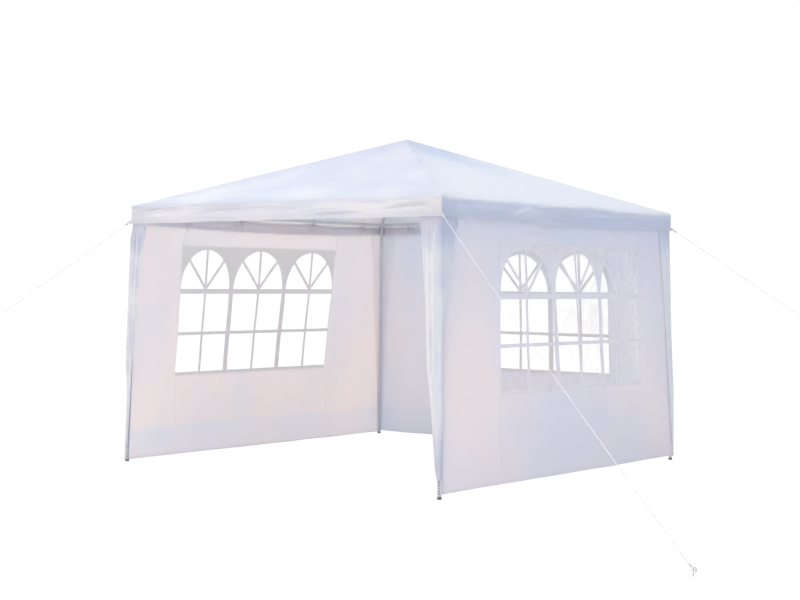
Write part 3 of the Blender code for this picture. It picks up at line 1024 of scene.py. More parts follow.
wallPlan = {
    "half": 1.4855, "windowHalf": 0.900, "mullion": 0.309, "cell": 0.020, "thickness": 0.0008,
    "sag": 0.012, "sagShare": 0.022, "sagBand": (-0.20, 0.20), "hemReach": 0.60, "waveReach": 0.30,
    "tuckBand": (0.10, 0.90), "boltStep": 0.37, "borderReach": 0.035,
}
window = {
    "sill": 0.638, "head": 1.668, "clothSill": 0.639, "margin": 0.001, "barProud": 0.0014,
    "lowBar": (0.638, 0.660), "midBar": (0.955, 0.980), "springBar": (1.285, 1.325),
    "mullionHalf": 0.024, "midHalf": 0.0118, "fanHalf": 0.0120, "fanTip": (0.198, 0.226),
    "archRise": 0.315, "step": 0.018, "arcSteps": 28, "barEnd": 0.004, "fanStart": -0.010,
    "fanReach": 1.06, "leastShare": 0.301, "weld": 1e-5,
}
# Along each wall: its seams and mullions from left to right, at a few heights, its ties, its hem's
# # height, how far its right edge is tucked in at the foot, the painted light or shade of its window bars,
# # the height and painted shade of its low band, and where it is rumpled, where its cloth is painted warmer
# # as light glowing through it or cooler as shade, and where its film is crumpled, as along, up, reach
# # along, reach up, how much
wallHangs = {
    "left": {
        "seed": 31, "hem": 0.012, "ties": (-1.21, -0.55, 0.33, 0.91), "tuck": 0.008, "bars": -0.5,
        "band": (0.235, -0.26), "rumpled": ((0.10, 1.84, 1.20, 0.05, 0.6), (1.20, 0.40, 0.30, 0.40, 0.4)),
        "warm": ((0.0, 1.0, 9.0, 9.0, 0.14), (1.25, 1.55, 0.35, 0.40, 0.08),
                 (-1.25, 1.05, 0.32, 0.80, 0.08), (0.62, 0.42, 0.14, 0.24, -0.20),
                 (0.36, 0.42, 0.10, 0.24, 0.06), (0.10, 0.42, 0.12, 0.24, -0.16),
                 (-0.30, 0.42, 0.16, 0.24, 0.06), (1.30, 0.60, 0.25, 0.22, 0.04),
                 (1.22, 0.18, 0.28, 0.18, -0.30)),
        "crumpled": ((0.0, 1.66, 1.2, 0.05, 0.06),),
        "seams": (
            ((0.02, -0.798), (0.63, -0.743), (1.31, -0.823), (1.66, -0.865), (1.89, -0.890)),
            ((0.02, -0.150), (0.63, -0.135), (1.31, -0.208), (1.66, -0.235), (1.89, -0.250)),
            ((0.02, 0.470), (0.63, 0.470), (1.31, 0.414), (1.66, 0.390), (1.89, 0.370)),
            ((0.02, 1.000), (0.63, 1.020), (1.31, 0.985), (1.66, 0.970), (1.80, 0.915), (1.89, 0.905)),
        ),
    },
    "right": {
        "seed": 47, "hem": 0.036, "ties": (-1.20, -0.86, 0.00, 0.62, 1.16), "tuck": 0.0, "bars": 0.45,
        "band": (0.20, -0.04),
        "rumpled": ((-0.55, 1.76, 0.32, 0.07, 1.0), (0.25, 1.73, 0.40, 0.05, 0.8),
                    (0.98, 1.40, 0.10, 0.40, 0.5), (0.30, 0.55, 0.70, 0.05, 0.5)),
        "warm": ((-1.18, 1.25, 0.26, 0.55, 0.30), (-1.20, 0.45, 0.32, 0.60, 0.30),
                 (0.00, 1.82, 1.70, 0.18, -0.36), (0.00, 0.42, 0.60, 0.30, -0.22),
                 (1.25, 0.35, 0.30, 0.35, 0.22), (1.20, 1.20, 0.25, 0.55, -0.06)),
        "crumpled": ((0.89, 1.15, 0.17, 0.60, 0.90), (0.10, 1.64, 0.95, 0.07, 0.45),
                     (0.40, 0.70, 0.70, 0.07, 0.30)),
        "seams": (
            ((0.02, -0.850), (0.65, -0.838), (1.31, -0.828), (1.69, -0.850), (1.89, -0.860)),
            ((0.02, -0.150), (0.65, -0.140), (1.31, -0.185), (1.66, -0.215), (1.89, -0.220)),
            ((0.02, 0.450), (0.65, 0.460), (1.31, 0.415), (1.66, 0.390), (1.89, 0.390)),
            ((0.02, 0.990), (0.65, 0.995), (1.31, 0.985), (1.69, 0.980), (1.89, 0.960)),
        ),
    },
    "back": {
        "seed": 62, "hem": 0.026, "ties": (-1.18, -0.88, -0.10, 0.55, 1.15), "tuck": 0.0, "bars": -0.1,
        "band": (0.25, -0.16), "rumpled": ((0.0, 1.76, 1.2, 0.06, 0.6), (0.9, 0.20, 0.5, 0.10, 0.5)),
        "warm": ((0.0, 1.0, 9.0, 9.0, -0.16), (0.20, 0.35, 0.60, 0.30, 0.12),
                 (1.32, 1.20, 0.12, 0.90, 0.14), (1.12, 0.40, 0.35, 0.40, 0.30)),
        "crumpled": ((-0.70, 1.20, 0.26, 0.45, 0.40), (0.30, 1.64, 0.60, 0.06, 0.25)),
        "seams": (
            ((0.02, -0.930), (0.65, -0.935), (1.31, -0.925), (1.69, -0.915), (1.89, -0.905)),
            ((0.02, -0.360), (0.65, -0.365), (1.31, -0.360), (1.66, -0.350), (1.89, -0.340)),
            ((0.02, 0.250), (0.65, 0.255), (1.31, 0.250), (1.66, 0.245), (1.89, 0.240)),
            ((0.02, 0.880), (0.65, 0.875), (1.31, 0.865), (1.69, 0.850), (1.89, 0.850)),
        ),
    },
}


def patches(spots, a, b):
    total = np.zeros_like(np.asarray(a, float))
    for middleA, middleB, reachA, reachB, amount in spots:
        total += amount * np.exp(-((a - middleA) / reachA) ** 2 - ((b - middleB) / reachB) ** 2)
    return total


def wallMesh(side, name, flat, faces, proud=0.0, kind="cloth"):
    # a sheet of the wall, hung in its place; each wall's cloth comes from its own stretch of the bolt
    a, b = flat[:, 0], flat[:, 1]
    hang = wallHangs[side]
    bolt = flat + (0.0, 0.0, wallPlan["boltStep"] * hang["seed"])
    if kind == "bars":
        # painted light or shade of the bars, one value for each wall
        tint = np.full_like(a, hang["bars"])
    elif kind == "film":
        tint = patches(hang["crumpled"], a, b)
    else:
        # painted shade along the foot of the wall below a wavy border, and painted light and shade in broad
        # warm and cool patches
        height, amount = hang["band"]
        border = height + relief(wallWaves["border"], a, b, hang["seed"], cloth=1.0)
        tint = patches(hang["warm"], a, b) + amount * (1 - rising(b, border, wallPlan["borderReach"]))
    return makeMesh(name, hangCloth(side, a, b, proud), faces, flat=bolt, tint=tint)


def sagBetween(u, ties):
    # the top edge dips between the ties
    posts = np.array([-wallPlan["half"], *ties, wallPlan["half"]])
    gap = np.clip(np.searchsorted(posts, u, side="right") - 1, 0, len(posts) - 2)
    width = posts[gap + 1] - posts[gap]
    t = np.clip((u - posts[gap]) / width, 0, 1)
    return 4 * t * (1 - t) * np.minimum(wallPlan["sag"], wallPlan["sagShare"] * width)


wallRelief = (
    ("below", smoothNoise, 0.0130, (0.9, 0.0, 2.3), (0.0, 0.8, 0.0), 0),
    ("below", smoothNoise, 0.0065, (4.2, 0.5, 0.0), (0.0, 0.9, 0.0), 1),
    ("inner", smoothNoise, 0.0035, (3.6, 0.0, 0.0), (0.0, 3.6, 0.0), 2),
    ("inner", creases, 0.0022, (6.5, 0.0, 0.0), (0.0, 5.0, 0.0), 3),
    ("inner", creases, 0.0009, (17.0, 0.0, 0.0), (0.0, 14.0, 0.0), 4),
    ("rumpled", creases, 0.0110, (4.0, 1.0, 0.0), (0.0, 17.0, 0.0), 8),
    ("foot", smoothNoise, 0.0100, (2.3, 0.0, 0.0), (0.0, 0.0, 0.5), 5),
)
wallWaves = {
    "hem": (("cloth", smoothNoise, 0.004, (2.1, 0.0, 0.0), (0.0, 0.0, 3.3), 6),),
    "border": (("cloth", smoothNoise, 0.012, (2.2, 0.0, 0.0), (0.0, 0.0, 1.5), 7),),
}
wallFades = {"ends": 0.25, "top": 0.35, "foot": 0.35}
tieDrag = {"height": 0.0070, "rays": 9, "reach": 0.22, "clear": 0.05, "ease": 0.0, "least": 0.004}
# Straight folds from the pack, that never quite hang out
packFolds = {
    "along": (-1.12, -0.75, -0.375, 0.0, 0.375, 0.75, 1.12), "up": (0.31, 0.62, 0.93, 1.24, 1.55),
    "height": 0.0016, "width": 0.014,
}


def billow(side, u, z):
    hang, seed, top = wallHangs[side], wallHangs[side]["seed"], tent["wallTop"]
    inner = smoothStep((wallPlan["half"] - np.abs(u)) / wallFades["ends"])
    depth = relief(
        wallRelief, u, z, seed, inner=inner, below=inner * smoothStep((top - z) / wallFades["top"]),
        rumpled=patches(hang["rumpled"], u, z) * inner,
        foot=inner * smoothStep((wallFades["foot"] - z) / wallFades["foot"]))
    for at, places, sign in ((u, packFolds["along"], 1), (z, packFolds["up"], -1)):
        for place in places:
            fold = np.exp(-np.abs(at - place) / packFolds["width"])
            depth = depth + sign * packFolds["height"] * inner * fold
    for i, place in enumerate(hang["ties"]):
        depth = depth + rays(tieDrag, u - place, np.maximum(top - z, tieDrag["least"]), i)
    return depth


def hangCloth(side, a, b, proud=0.0):
    # a and b are places on the cloth as cut: across from its middle, and up from the ground
    plan, hang = wallPlan, wallHangs[side]
    a, b, proud = (np.asarray(v, float) for v in np.broadcast_arrays(a, b, proud))
    edge = plan["half"]
    knots = np.array([-edge, -plan["windowHalf"], -plan["mullion"],
                      plan["mullion"], plan["windowHalf"], edge])
    lines = [np.full_like(b, -edge)]
    lines += [atHeights(b, seam) / spreadAt(b) for seam in hang["seams"]]
    lines.append(edge - hang["tuck"] * (1 - rising(b, *plan["tuckBand"])))
    lines = np.stack(lines)
    gap = np.clip(np.searchsorted(knots, a, side="right") - 1, 0, len(knots) - 2)
    t = (a - knots[gap]) / (knots[gap + 1] - knots[gap])
    each = np.arange(a.size)
    u = lines[gap, each] * (1 - t) + lines[gap + 1, each] * t
    lift = (hang["hem"] - tent["wallHem"]) * (1 - smoothStep(b / plan["hemReach"]))
    wave = relief(wallWaves["hem"], u, b, hang["seed"], cloth=1 - smoothStep(b / plan["waveReach"]))
    nearTop = rising(b - tent["wallTop"], *plan["sagBand"])
    z = b + lift + wave - sagBetween(u, hang["ties"]) * nearTop
    return onSide(side, u, tent["wallLine"] + billow(side, u, z) + proud, z)


def flatPoints(a, b):
    return np.stack([a, b, np.zeros_like(a)], axis=-1)


def stops(*marks, cell):
    # places between the marks, evenly spaced and never further apart than cell
    runs = [np.linspace(low, high, max(2, math.ceil((high - low) / cell) + 1))[:-1]
            for low, high in zip(marks, marks[1:])]
    return np.concatenate([*runs, [marks[-1]]])


seam = {"width": 0.008, "hem": 0.014, "topHem": 0.022, "thickness": 0.0016, "beyond": 0.007,
        "stitchInset": 0.02, "stitchDrop": 0.003}


def strip(firstA, firstB, lastA, lastB, width):
    # a straight strip of the flat cloth, two cells wide
    length = math.hypot(lastA - firstA, lastB - firstB)
    along = np.linspace(0, 1, math.ceil(length / wallPlan["cell"]) + 1)
    sideA, sideB = -(lastB - firstB) / length, (lastA - firstA) / length
    gridT, gridW, faces = gridOf(along, np.array([-0.5, 0.0, 0.5]) * width)
    flat = flatPoints(firstA + (lastA - firstA) * gridT + sideA * gridW,
                      firstB + (lastB - firstB) * gridT + sideB * gridW)
    return flat, faces


def stitchLine(side, firstA, firstB, lastA, lastB):
    length = math.hypot(lastA - firstA, lastB - firstB)
    t = np.linspace(0, 1, math.ceil(length / wallPlan["cell"]) + 1)
    return hangCloth(side, firstA + (lastA - firstA) * t, firstB + (lastB - firstB) * t)


def wallSeams(side):
    # the sewn strips round the wall and its window, and the rows of stitches on them
    half, hem, top = wallPlan["half"], tent["wallHem"], tent["wallTop"]
    low, high = hem + seam["hem"], top - seam["topHem"]
    sill, head = window["clothSill"] - seam["beyond"], window["head"] + seam["beyond"]
    edge, rim = wallPlan["windowHalf"] + seam["beyond"], half - seam["width"] / 2
    strips = [(-half, hem + seam["hem"] / 2, half, hem + seam["hem"] / 2, seam["hem"]),
              (-half, top - seam["topHem"] / 2, half, top - seam["topHem"] / 2, seam["topHem"])]
    runs = [(edge, low, sill), (edge, head, high)]
    strips += [(sign * a, first, sign * a, last, seam["width"]) for sign in (-1, 1)
               for a, first, last in runs]
    strips += [(sign * rim, low, sign * rim, high, seam["width"]) for sign in (-1, 1)]
    flats, faces, first = [], [], 0
    for flat, face in (strip(*run) for run in strips):
        flats.append(flat)
        faces.append(face + first)
        first += len(flat)
    mesh = wallMesh(side, f"{side}Seams", np.concatenate(flats), np.concatenate(faces))
    seams = addPiece(f"{side}_wall_seams", mesh, "seamCloth", thickness=seam["thickness"])

    inset, drop = half - seam["stitchInset"], seam["stitchDrop"]
    rows = [(-inset, low - drop, inset, low - drop), (-inset, high + drop, inset, high + drop),
            (-edge, sill, edge, sill)]
    rows += [(sign * place, low, sign * place, high) for place in (edge, rim) for sign in (-1, 1)]
    lines = [stitchLine(side, *row) for row in rows]
    stitches = addPiece(f"{side}_wall_stitches",
                        makeStitches(f"{side}Stitches", lines, [sideFacing(side)] * len(lines)),
                        "thread")
    return [seams, stitches]


def addWallCloth(side):
    half, opening = wallPlan["half"], wallPlan["windowHalf"]
    sill, head = window["clothSill"], window["head"]
    a = stops(-half, -opening, opening, half, cell=wallPlan["cell"])
    b = stops(tent["wallHem"], sill, head, tent["wallTop"], cell=wallPlan["cell"])
    gridA, gridB, faces = gridOf(a, b)
    middle = flatPoints(gridA, gridB)[faces].mean(axis=1)
    inHole = (np.abs(middle[:, 0]) < opening) & (middle[:, 1] > sill) & (middle[:, 1] < head)
    flat, faces = dropUnused(flatPoints(gridA, gridB), faces[~inHole])
    mesh = wallMesh(side, f"{side}WallCloth", flat, faces)
    piece = addPiece(f"{side}_wall_cloth", mesh, "wallCloth", [f"{side}_wall"],
                     wallPlan["thickness"])
    width, height = 2 * half, tent["wallTop"] - tent["wallHem"]
    width * height - 2 * opening * (head - sill)
    wallSeams(side)


def bays():
    # middle and half width of each arched opening
    inner = wallPlan["mullion"] - window["mullionHalf"]
    outer = wallPlan["mullion"] + window["mullionHalf"]
    middle, half = (outer + wallPlan["windowHalf"]) / 2, (wallPlan["windowHalf"] - outer) / 2
    return [(-middle, half), (0.0, inner), (middle, half)]


def fanBar(centre, sign):
    # a bar from the foot of the fan to the arch, as four corners
    spring, (reachA, reachB) = window["springBar"][1], window["fanTip"]
    length = math.hypot(reachA, reachB)
    stepA, stepB = sign * reachA / length, reachB / length
    sideA, sideB = -stepB * window["fanHalf"], stepA * window["fanHalf"]
    near, far = window["fanStart"], length * window["fanReach"]
    return [(centre + stepA * d + sideA * s, spring + stepB * d + sideB * s)
            for d, s in ((near, -1), (far, -1), (far, 1), (near, 1))]


def arch(centre, half):
    spring, rise = window["springBar"][1], window["archRise"]
    angles = [math.pi * i / window["arcSteps"] for i in range(window["arcSteps"] + 1)]
    return [(centre - half * math.cos(angle), spring + rise * math.sin(angle)) for angle in angles]


def rectangle(low, high, bottom, top):
    return [(low, bottom), (high, bottom), (high, top), (low, top)]


def barOutlines():
    edge = wallPlan["windowHalf"] + window["margin"]
    spring, sill = window["springBar"][1], window["sill"]
    outlines = [rectangle(-edge, edge, sill, window["head"] + window["margin"])]
    outlines += [rectangle(-edge, edge, *window[bar]) for bar in ("lowBar", "midBar", "springBar")]
    for sign in (-1, 1):
        middle, reach = sign * wallPlan["mullion"], window["mullionHalf"]
        outlines.append(rectangle(middle - reach, middle + reach, sill, spring))
    for centre, half in bays():
        outlines.append(rectangle(centre - window["midHalf"], centre + window["midHalf"],
                                  sill, spring + window["archRise"] + window["barEnd"]))
        outlines += [fanBar(centre, -1), fanBar(centre, 1), arch(centre, half)]
    return outlines


def isBar(a, b):
    # whether there is cloth at a place of the window: above the arches, or on a bar
    spring, rise = window["springBar"][1], window["archRise"]
    reachA, reachB = window["fanTip"]
    length = math.hypot(reachA, reachB)
    solid = b > spring
    for centre, half in bays():
        solid &= ~((b > spring) & (((a - centre) / half) ** 2 + ((b - spring) / rise) ** 2 < 1))
    for bar in ("lowBar", "midBar", "springBar"):
        solid |= (b > window[bar][0]) & (b < window[bar][1])
    solid |= (np.abs(np.abs(a) - wallPlan["mullion"]) < window["mullionHalf"]) & (b < spring)
    solid |= np.abs(a) > wallPlan["windowHalf"]
    for centre, half in bays():
        solid |= np.abs(a - centre) < window["midHalf"]
        for sign in (-1, 1):
            along = ((a - centre) * sign * reachA + (b - spring) * reachB) / length
            aside = ((a - centre) * sign * reachB - (b - spring) * reachA) / length
            solid |= (np.abs(aside) < window["fanHalf"]) & (along > 0) & (b > spring)
    return solid


def cutBars():
    # the bars and the arched top as one flat cut-out, in small triangles
    points, edges, step = [], [], window["step"]
    for outline in barOutlines():
        first = len(points)
        for start, end in zip(outline, outline[1:] + outline[:1]):
            parts = max(1, math.ceil(math.dist(start, end) / step))
            points += [(start[0] + (end[0] - start[0]) * i / parts,
                        start[1] + (end[1] - start[1]) * i / parts) for i in range(parts)]
        count = len(points) - first
        edges += [(first + i, first + (i + 1) % count) for i in range(count)]
    inside = stops(-wallPlan["windowHalf"], wallPlan["windowHalf"], cell=step)
    upward = stops(window["springBar"][1], window["head"], cell=step)
    gridA, gridB, _ = gridOf(inside[1:-1], upward[1:-1])
    keep = isBar(gridA, gridB)
    points += list(zip(gridA[keep].tolist(), gridB[keep].tolist()))
    made = delaunay_2d_cdt([Vector(p) for p in points], edges, [], 0, window["weld"])
    flat = np.array([(p.x, p.y, 0.0) for p in made[0]])
    faces = np.array([list(f) for f in made[2]])
    middle = flat[faces].mean(axis=1)
    return dropUnused(flat, faces[isBar(middle[:, 0], middle[:, 1])])


barCut = cutBars()
print("window bars cut:", len(barCut[1]), "triangles")


def addBars(side):
    flat, faces = barCut
    mesh = wallMesh(side, f"{side}WindowBars", flat, faces, window["barProud"], "bars")
    bars = addPiece(f"{side}_window_bars", mesh, "windowBarCloth",
                    thickness=wallPlan["thickness"])
    corner = flat[faces]
    span, rise = corner[:, 1] - corner[:, 0], corner[:, 2] - corner[:, 0]
    area = float(np.abs(span[:, 0] * rise[:, 1] - span[:, 1] * rise[:, 0]).sum() / 2)
    width = 2 * (wallPlan["windowHalf"] + window["margin"])
    height = window["head"] + window["margin"] - window["sill"]
    max(area, window["leastShare"] * width * height)


# The film lies smooth round its edge; where it is loose, its waves and creases stand higher
film = {
    "half": 0.903, "over": 0.003, "proud": 0.0028, "thickness": 0.0003, "slackSide": 0.10,
    "slackTop": 0.08, "out": 0.0014, "looseOut": 0.0040, "wave": 0.0010, "looseWave": 0.0050,
    "crease": 0.0006, "looseCrease": 0.0030,
}
filmRelief = (
    ("wave", smoothNoise, 1.0, (3.5, 1.0, 0.0), (0.0, 1.8, 0.0), 8),
    ("crease", creases, 1.0, (6.0, 2.4, 0.0), (0.0, 2.2, 0.0), 9),
)


def addFilm(side):
    sill, head, reach, hang = window["sill"], window["head"], film["half"], wallHangs[side]
    a = stops(-reach, reach, cell=wallPlan["cell"])
    b = stops(sill - film["over"] / 2, head + film["over"], cell=wallPlan["cell"])
    gridA, gridB, faces = gridOf(a, b)
    slack = smoothStep((reach - np.abs(gridA)) / film["slackSide"])
    slack = slack * smoothStep((gridB - sill) / film["slackSide"])
    slack = slack * smoothStep((head - gridB) / film["slackTop"])
    loose = patches(hang["crumpled"], gridA, gridB)
    stands = film["out"] + film["looseOut"] * loose + relief(
        filmRelief, gridA, gridB, hang["seed"], wave=film["wave"] + film["looseWave"] * loose,
        crease=film["crease"] + film["looseCrease"] * loose)
    mesh = wallMesh(side, f"{side}Film", flatPoints(gridA, gridB), faces,
                    film["proud"] + slack * stands, "film")
    piece = addPiece(f"{side}_film", mesh, "clearFilm", [f"{side}_window_film"],
                     film["thickness"])
    2 * reach


for wallSide in wallHangs:
    addWallCloth(wallSide)
    addBars(wallSide)
    addFilm(wallSide)
print("walls and windows made")


# The thin cord of the ties, on the walls and on the drapes, and how a wall's tie is made: where it
# passes through the wall, out from the cloth and up from the eyelet, its knot and its tails
tie = {
    "radius": 0.0014, "lay": 0.010, "step": 0.0028, "sides": 4, "clear": 0.0018, "pitch": 0.00336,
    "eyeletDrop": 0.015, "turns": 2, "steps": 12, "from": -40, "round": 250, "tails": (0.055, 0.075),
    "tailBow": 0.012, "tailWave": 2.2, "tailSpread": (0.004, 0.010), "tailIn": 0.003,
    "knot": 0.0042, "knotPoints": 18, "knotIn": 0.008, "winding": (0.5, 0.9), "gap": 0.004,
    "through": ((-0.006, 0.002), (0.003, 0.0), (0.004, 0.012)),
}


# Drapes: a strip of cloth folded round each leg

drape = {
    "rows": 110, "across": 84, "cornerRound": 0.012, "thickness": 0.0008, "foot": 0.125,
    "hem": 0.008, "hemThickness": 0.0020, "leastHems": 1.5, "drawnBand": (0.35, 0.45),
    "wander": 0.10, "wanderScale": (1.5, 1.1), "leastFold": 0.2, "leastCurl": 0.1,
    "legClear": 0.02, "fold": 0.4, "foldSharpness": 1.3, "foldWidth": 0.10, "highBand": (1.2, 0.4),
    "curlBand": (0.92, 0.08), "curlWidth": 0.16, "sideCurl": -0.25, "calmReach": 0.45,
    "ridgeWander": 0.006, "ridgeScale": 3.0, "ridgeLane": 2.5, "dragBand": (1.22, 0.25),
    "topBand": (1.68, 0.13), "proud": 0.0005, "allowance": 1.02, "measures": 40,
    "foldDepths": ((0.12, 0.0005), (0.40, 0.0035), (0.90, 0.0080), (1.50, 0.0100), (1.78, 0.0080),
                   (1.84, 0.0030), (1.92, 0.0015)),
    # painted shade at the top under the valance and at the foot, and painted light on the fold ridges with
    # painted shade in the valleys
    "topTint": -0.30, "topTintBand": (1.45, 0.30), "footTintBand": (0.15, 0.50), "ridgeTint": 8.0,
    "ridgeLevel": 0.006,
}
drapeRelief = {
    "folds": (
        ("cloth", smoothNoise, 0.35, (6.0, 0.0, 0.0), (0.0, 1.6, 0.0), 1),
        ("high", smoothNoise, 0.30, (3.0, 1.5, 0.0), (0.0, 5.0, 0.0), 3),
    ),
    "creases": (("wide", creases, 0.0016, (3.0, 0.0, 0.0), (0.0, 6.0, 0.0), 2),),
    # these slant down from the corner at the top of the front wings
    "dragLines": (("front", creases, 0.0040, (17.0, -20.0, 0.0), (7.0, 4.0, 0.0), 7),),
}
# Each drape: its cloth, how many folds stand in a wing and how deep they are, how far it is drawn in
# # at the foot, how its edges curl, the height up to which it lies calm, and the painted light or shade on
# # each wing and at its foot
drapeHangs = {
    "front_right": {
        "cloth": "drapeCloth", "folds": 1.62, "depth": 1.9, "drawnIn": 0.0, "curl": -0.007,
        "calm": 0.12, "frontTint": 0.20, "sideTint": 0.14, "footTint": -0.36,
    },
    "front_left": {
        "cloth": "drapeCloth", "folds": 2.35, "depth": 1.7, "drawnIn": 0.0075, "curl": -0.005,
        "calm": 0.45, "frontTint": 0.10, "sideTint": 0.10, "footTint": 0.0,
    },
    "back_left": {
        # the back-left drape takes the paler, more see-through seam cloth: a lit copy of the drape cloth,
        # painted light beside the back-left leg
        "cloth": "seamCloth", "folds": 1.6, "depth": 1.2, "drawnIn": 0.0, "curl": 0.004,
        "calm": 0.12, "frontTint": 0.0, "sideTint": 0.0, "footTint": 0.0,
    },
    "back_right": {
        "cloth": "drapeCloth", "folds": 1.8, "depth": 1.4, "drawnIn": 0.0, "curl": 0.006,
        "calm": 0.12, "frontTint": 0.0, "sideTint": 0.30, "footTint": 0.0,
    },
}
# The folds that stand out most: which wing, how far they stand out, how wide they are towards the
# edge and towards the leg, and their distance from the leg at a few heights
drapeRidges = {
    "front_right": (
        (-1, 0.026, 0.010, 0.022, ((0.12, 0.008), (0.61, 0.030), (1.27, 0.050), (1.66, 0.036),
                                   (1.80, 0.034))),
        (-1, 0.010, 0.007, 0.009, ((0.12, 0.016), (0.87, 0.082), (1.52, 0.098), (1.80, 0.105))),
        (-1, 0.008, 0.006, 0.008, ((0.12, 0.020), (0.87, 0.104), (1.52, 0.130), (1.80, 0.152))),
        (1, 0.004, 0.010, 0.030, ((0.12, 0.010), (1.16, 0.022), (1.58, 0.080), (1.80, 0.125))),
    ),
    "front_left": (
        (-1, 0.010, 0.007, 0.009, ((0.12, 0.010), (0.87, 0.030), (1.43, 0.036), (1.80, 0.048))),
        (-1, 0.012, 0.007, 0.010, ((0.12, 0.018), (0.87, 0.056), (1.43, 0.074), (1.80, 0.104))),
        (1, 0.016, 0.020, 0.016, ((0.12, 0.002), (1.80, 0.004))),
    ),
    "back_left": (
        (-1, 0.010, 0.009, 0.016, ((0.12, 0.010), (1.80, 0.045))),
        (-1, 0.008, 0.008, 0.012, ((0.12, 0.018), (1.80, 0.100))),
        (1, 0.010, 0.009, 0.016, ((0.12, 0.012), (1.80, 0.070))),
    ),
    "back_right": (
        (-1, 0.014, 0.010, 0.018, ((0.12, 0.010), (1.80, 0.050))),
        (-1, 0.010, 0.008, 0.012, ((0.12, 0.016), (1.80, 0.110))),
        (1, 0.010, 0.010, 0.018, ((0.12, 0.012), (1.80, 0.060))),
        (1, 0.007, 0.008, 0.014, ((0.12, 0.018), (1.80, 0.125))),
    ),
}
# Width of each wing at a few heights: along the front or back first, then along the side
drapeWings = {
    "front_right": (
        ((0.12, 0.024), (0.20, 0.040), (0.45, 0.056), (0.87, 0.108), (1.23, 0.115), (1.52, 0.142),
         (1.80, 0.172)),
        ((0.12, 0.016), (0.98, 0.018), (1.16, 0.030), (1.32, 0.056), (1.58, 0.106), (1.80, 0.165)),
    ),
    "front_left": (
        ((0.12, 0.026), (0.45, 0.036), (0.87, 0.072), (1.43, 0.105), (1.75, 0.150), (1.90, 0.165)),
        ((0.12, 0.020), (0.60, 0.026), (1.10, 0.040), (1.80, 0.070)),
    ),
    "back_left": (
        ((0.12, 0.024), (0.60, 0.040), (1.10, 0.066), (1.45, 0.095), (1.80, 0.145)),
        ((0.12, 0.024), (0.60, 0.046), (1.10, 0.078), (1.80, 0.130)),
    ),
    "back_right": (
        ((0.12, 0.024), (0.60, 0.060), (1.10, 0.095), (1.80, 0.150)),
        ((0.12, 0.028), (0.30, 0.050), (0.80, 0.082), (1.30, 0.122), (1.80, 0.178)),
    ),
}


def drapePoints(corner, share, z):
    # share runs from -1, the edge on the front or back, to 1, the edge on the side
    hang, (signX, signY) = drapeHangs[corner], cornerSigns[corner]
    seed = 71 + 3 * list(cornerSigns).index(corner)
    width = np.where(share < 0, *(atHeights(z, wing) for wing in drapeWings[corner]))
    t = share * width
    bend = drape["cornerRound"]
    arc = bend * math.pi / 4
    angle = np.clip((t + arc) / (2 * arc), 0, 1) * math.pi / 2
    core = tent["drapeLine"] - hang["drawnIn"] * (1 - rising(z, *drape["drawnBand"])) - bend
    normalX, normalY = np.sin(angle), np.cos(angle)
    x = core + bend * normalX - np.maximum(-t - arc, 0)
    y = core + bend * normalY - np.maximum(t - arc, 0)

    # the cloth stands in a few upright folds, flatter under the valance and at the foot
    deep = hang["depth"] * atHeights(z, drape["foldDepths"])
    scaleT, scaleZ = drape["wanderScale"]
    place = np.abs(share) + drape["wander"] * smoothNoise(share * scaleT, z * scaleZ, seed)
    fold = (0.5 - 0.5 * np.cos(math.tau * hang["folds"] * place)) ** drape["foldSharpness"]
    fold = fold + relief(drapeRelief["folds"], share, z, seed, cloth=1.0, high=rising(z, *drape["highBand"]))
    fold = np.maximum(fold, 0.0) * smoothStep(np.abs(t) / drape["legClear"])
    h = drape["fold"] * deep * fold * np.clip(width / drape["foldWidth"], drape["leastFold"], 1.0)
    curl = hang["curl"] * np.where(share < 0, 1.0, drape["sideCurl"])
    curl = curl * rising(np.abs(share), *drape["curlBand"])
    h = h + curl * np.clip(width / drape["curlWidth"], drape["leastCurl"], 1.0)
    h = h + relief(drapeRelief["creases"], share, z, seed, wide=smoothStep(width / drape["foldWidth"]))
    above = rising(z, hang["calm"], drape["calmReach"])
    for wing, reach, towardsEdge, towardsLeg, places in drapeRidges[corner]:
        past = wing * t - atHeights(z, places)
        sway = smoothNoise(z * drape["ridgeScale"], drape["ridgeLane"] + wing, seed + 5)
        past = past - drape["ridgeWander"] * sway
        h = h + reach * above * np.exp(-(past / np.where(past > 0, towardsEdge, towardsLeg)) ** 2)
    front = smoothStep(-t / drape["legClear"]) * smoothStep((width + t) / drape["legClear"])
    h = h + relief(drapeRelief["dragLines"], t, z, seed, front=front * rising(z, *drape["dragBand"]))
    h = h * (1 - rising(z, *drape["topBand"])) + drape["proud"]
    spread = spreadAt(z)
    points = [signX * (x + h * normalX) * spread, signY * (y + h * normalY) * spread, z]
    return np.stack(points, axis=-1), t, h


def paintDrapeShade(corner, t, z, h):
    # painted light and shade: ridges painted paler and valleys cooler, each wing paler or darker, and
    #     # painted shade at the top under the valance and, where given, at the foot
    hang = drapeHangs[corner]
    wing = np.where(t < 0, hang["frontTint"], hang["sideTint"])
    top = drape["topTint"] * rising(z, *drape["topTintBand"])
    foot = hang["footTint"] * (1 - rising(z, *drape["footTintBand"]))
    return wing + top + foot + drape["ridgeTint"] * (h - drape["ridgeLevel"])


def drapeMesh(corner, name, share, z, faces):
    points, along, rise = drapePoints(corner, share, z)
    return makeMesh(name, points, faces, flat=flatPoints(along, z),
                    tint=paintDrapeShade(corner, along, z, rise))


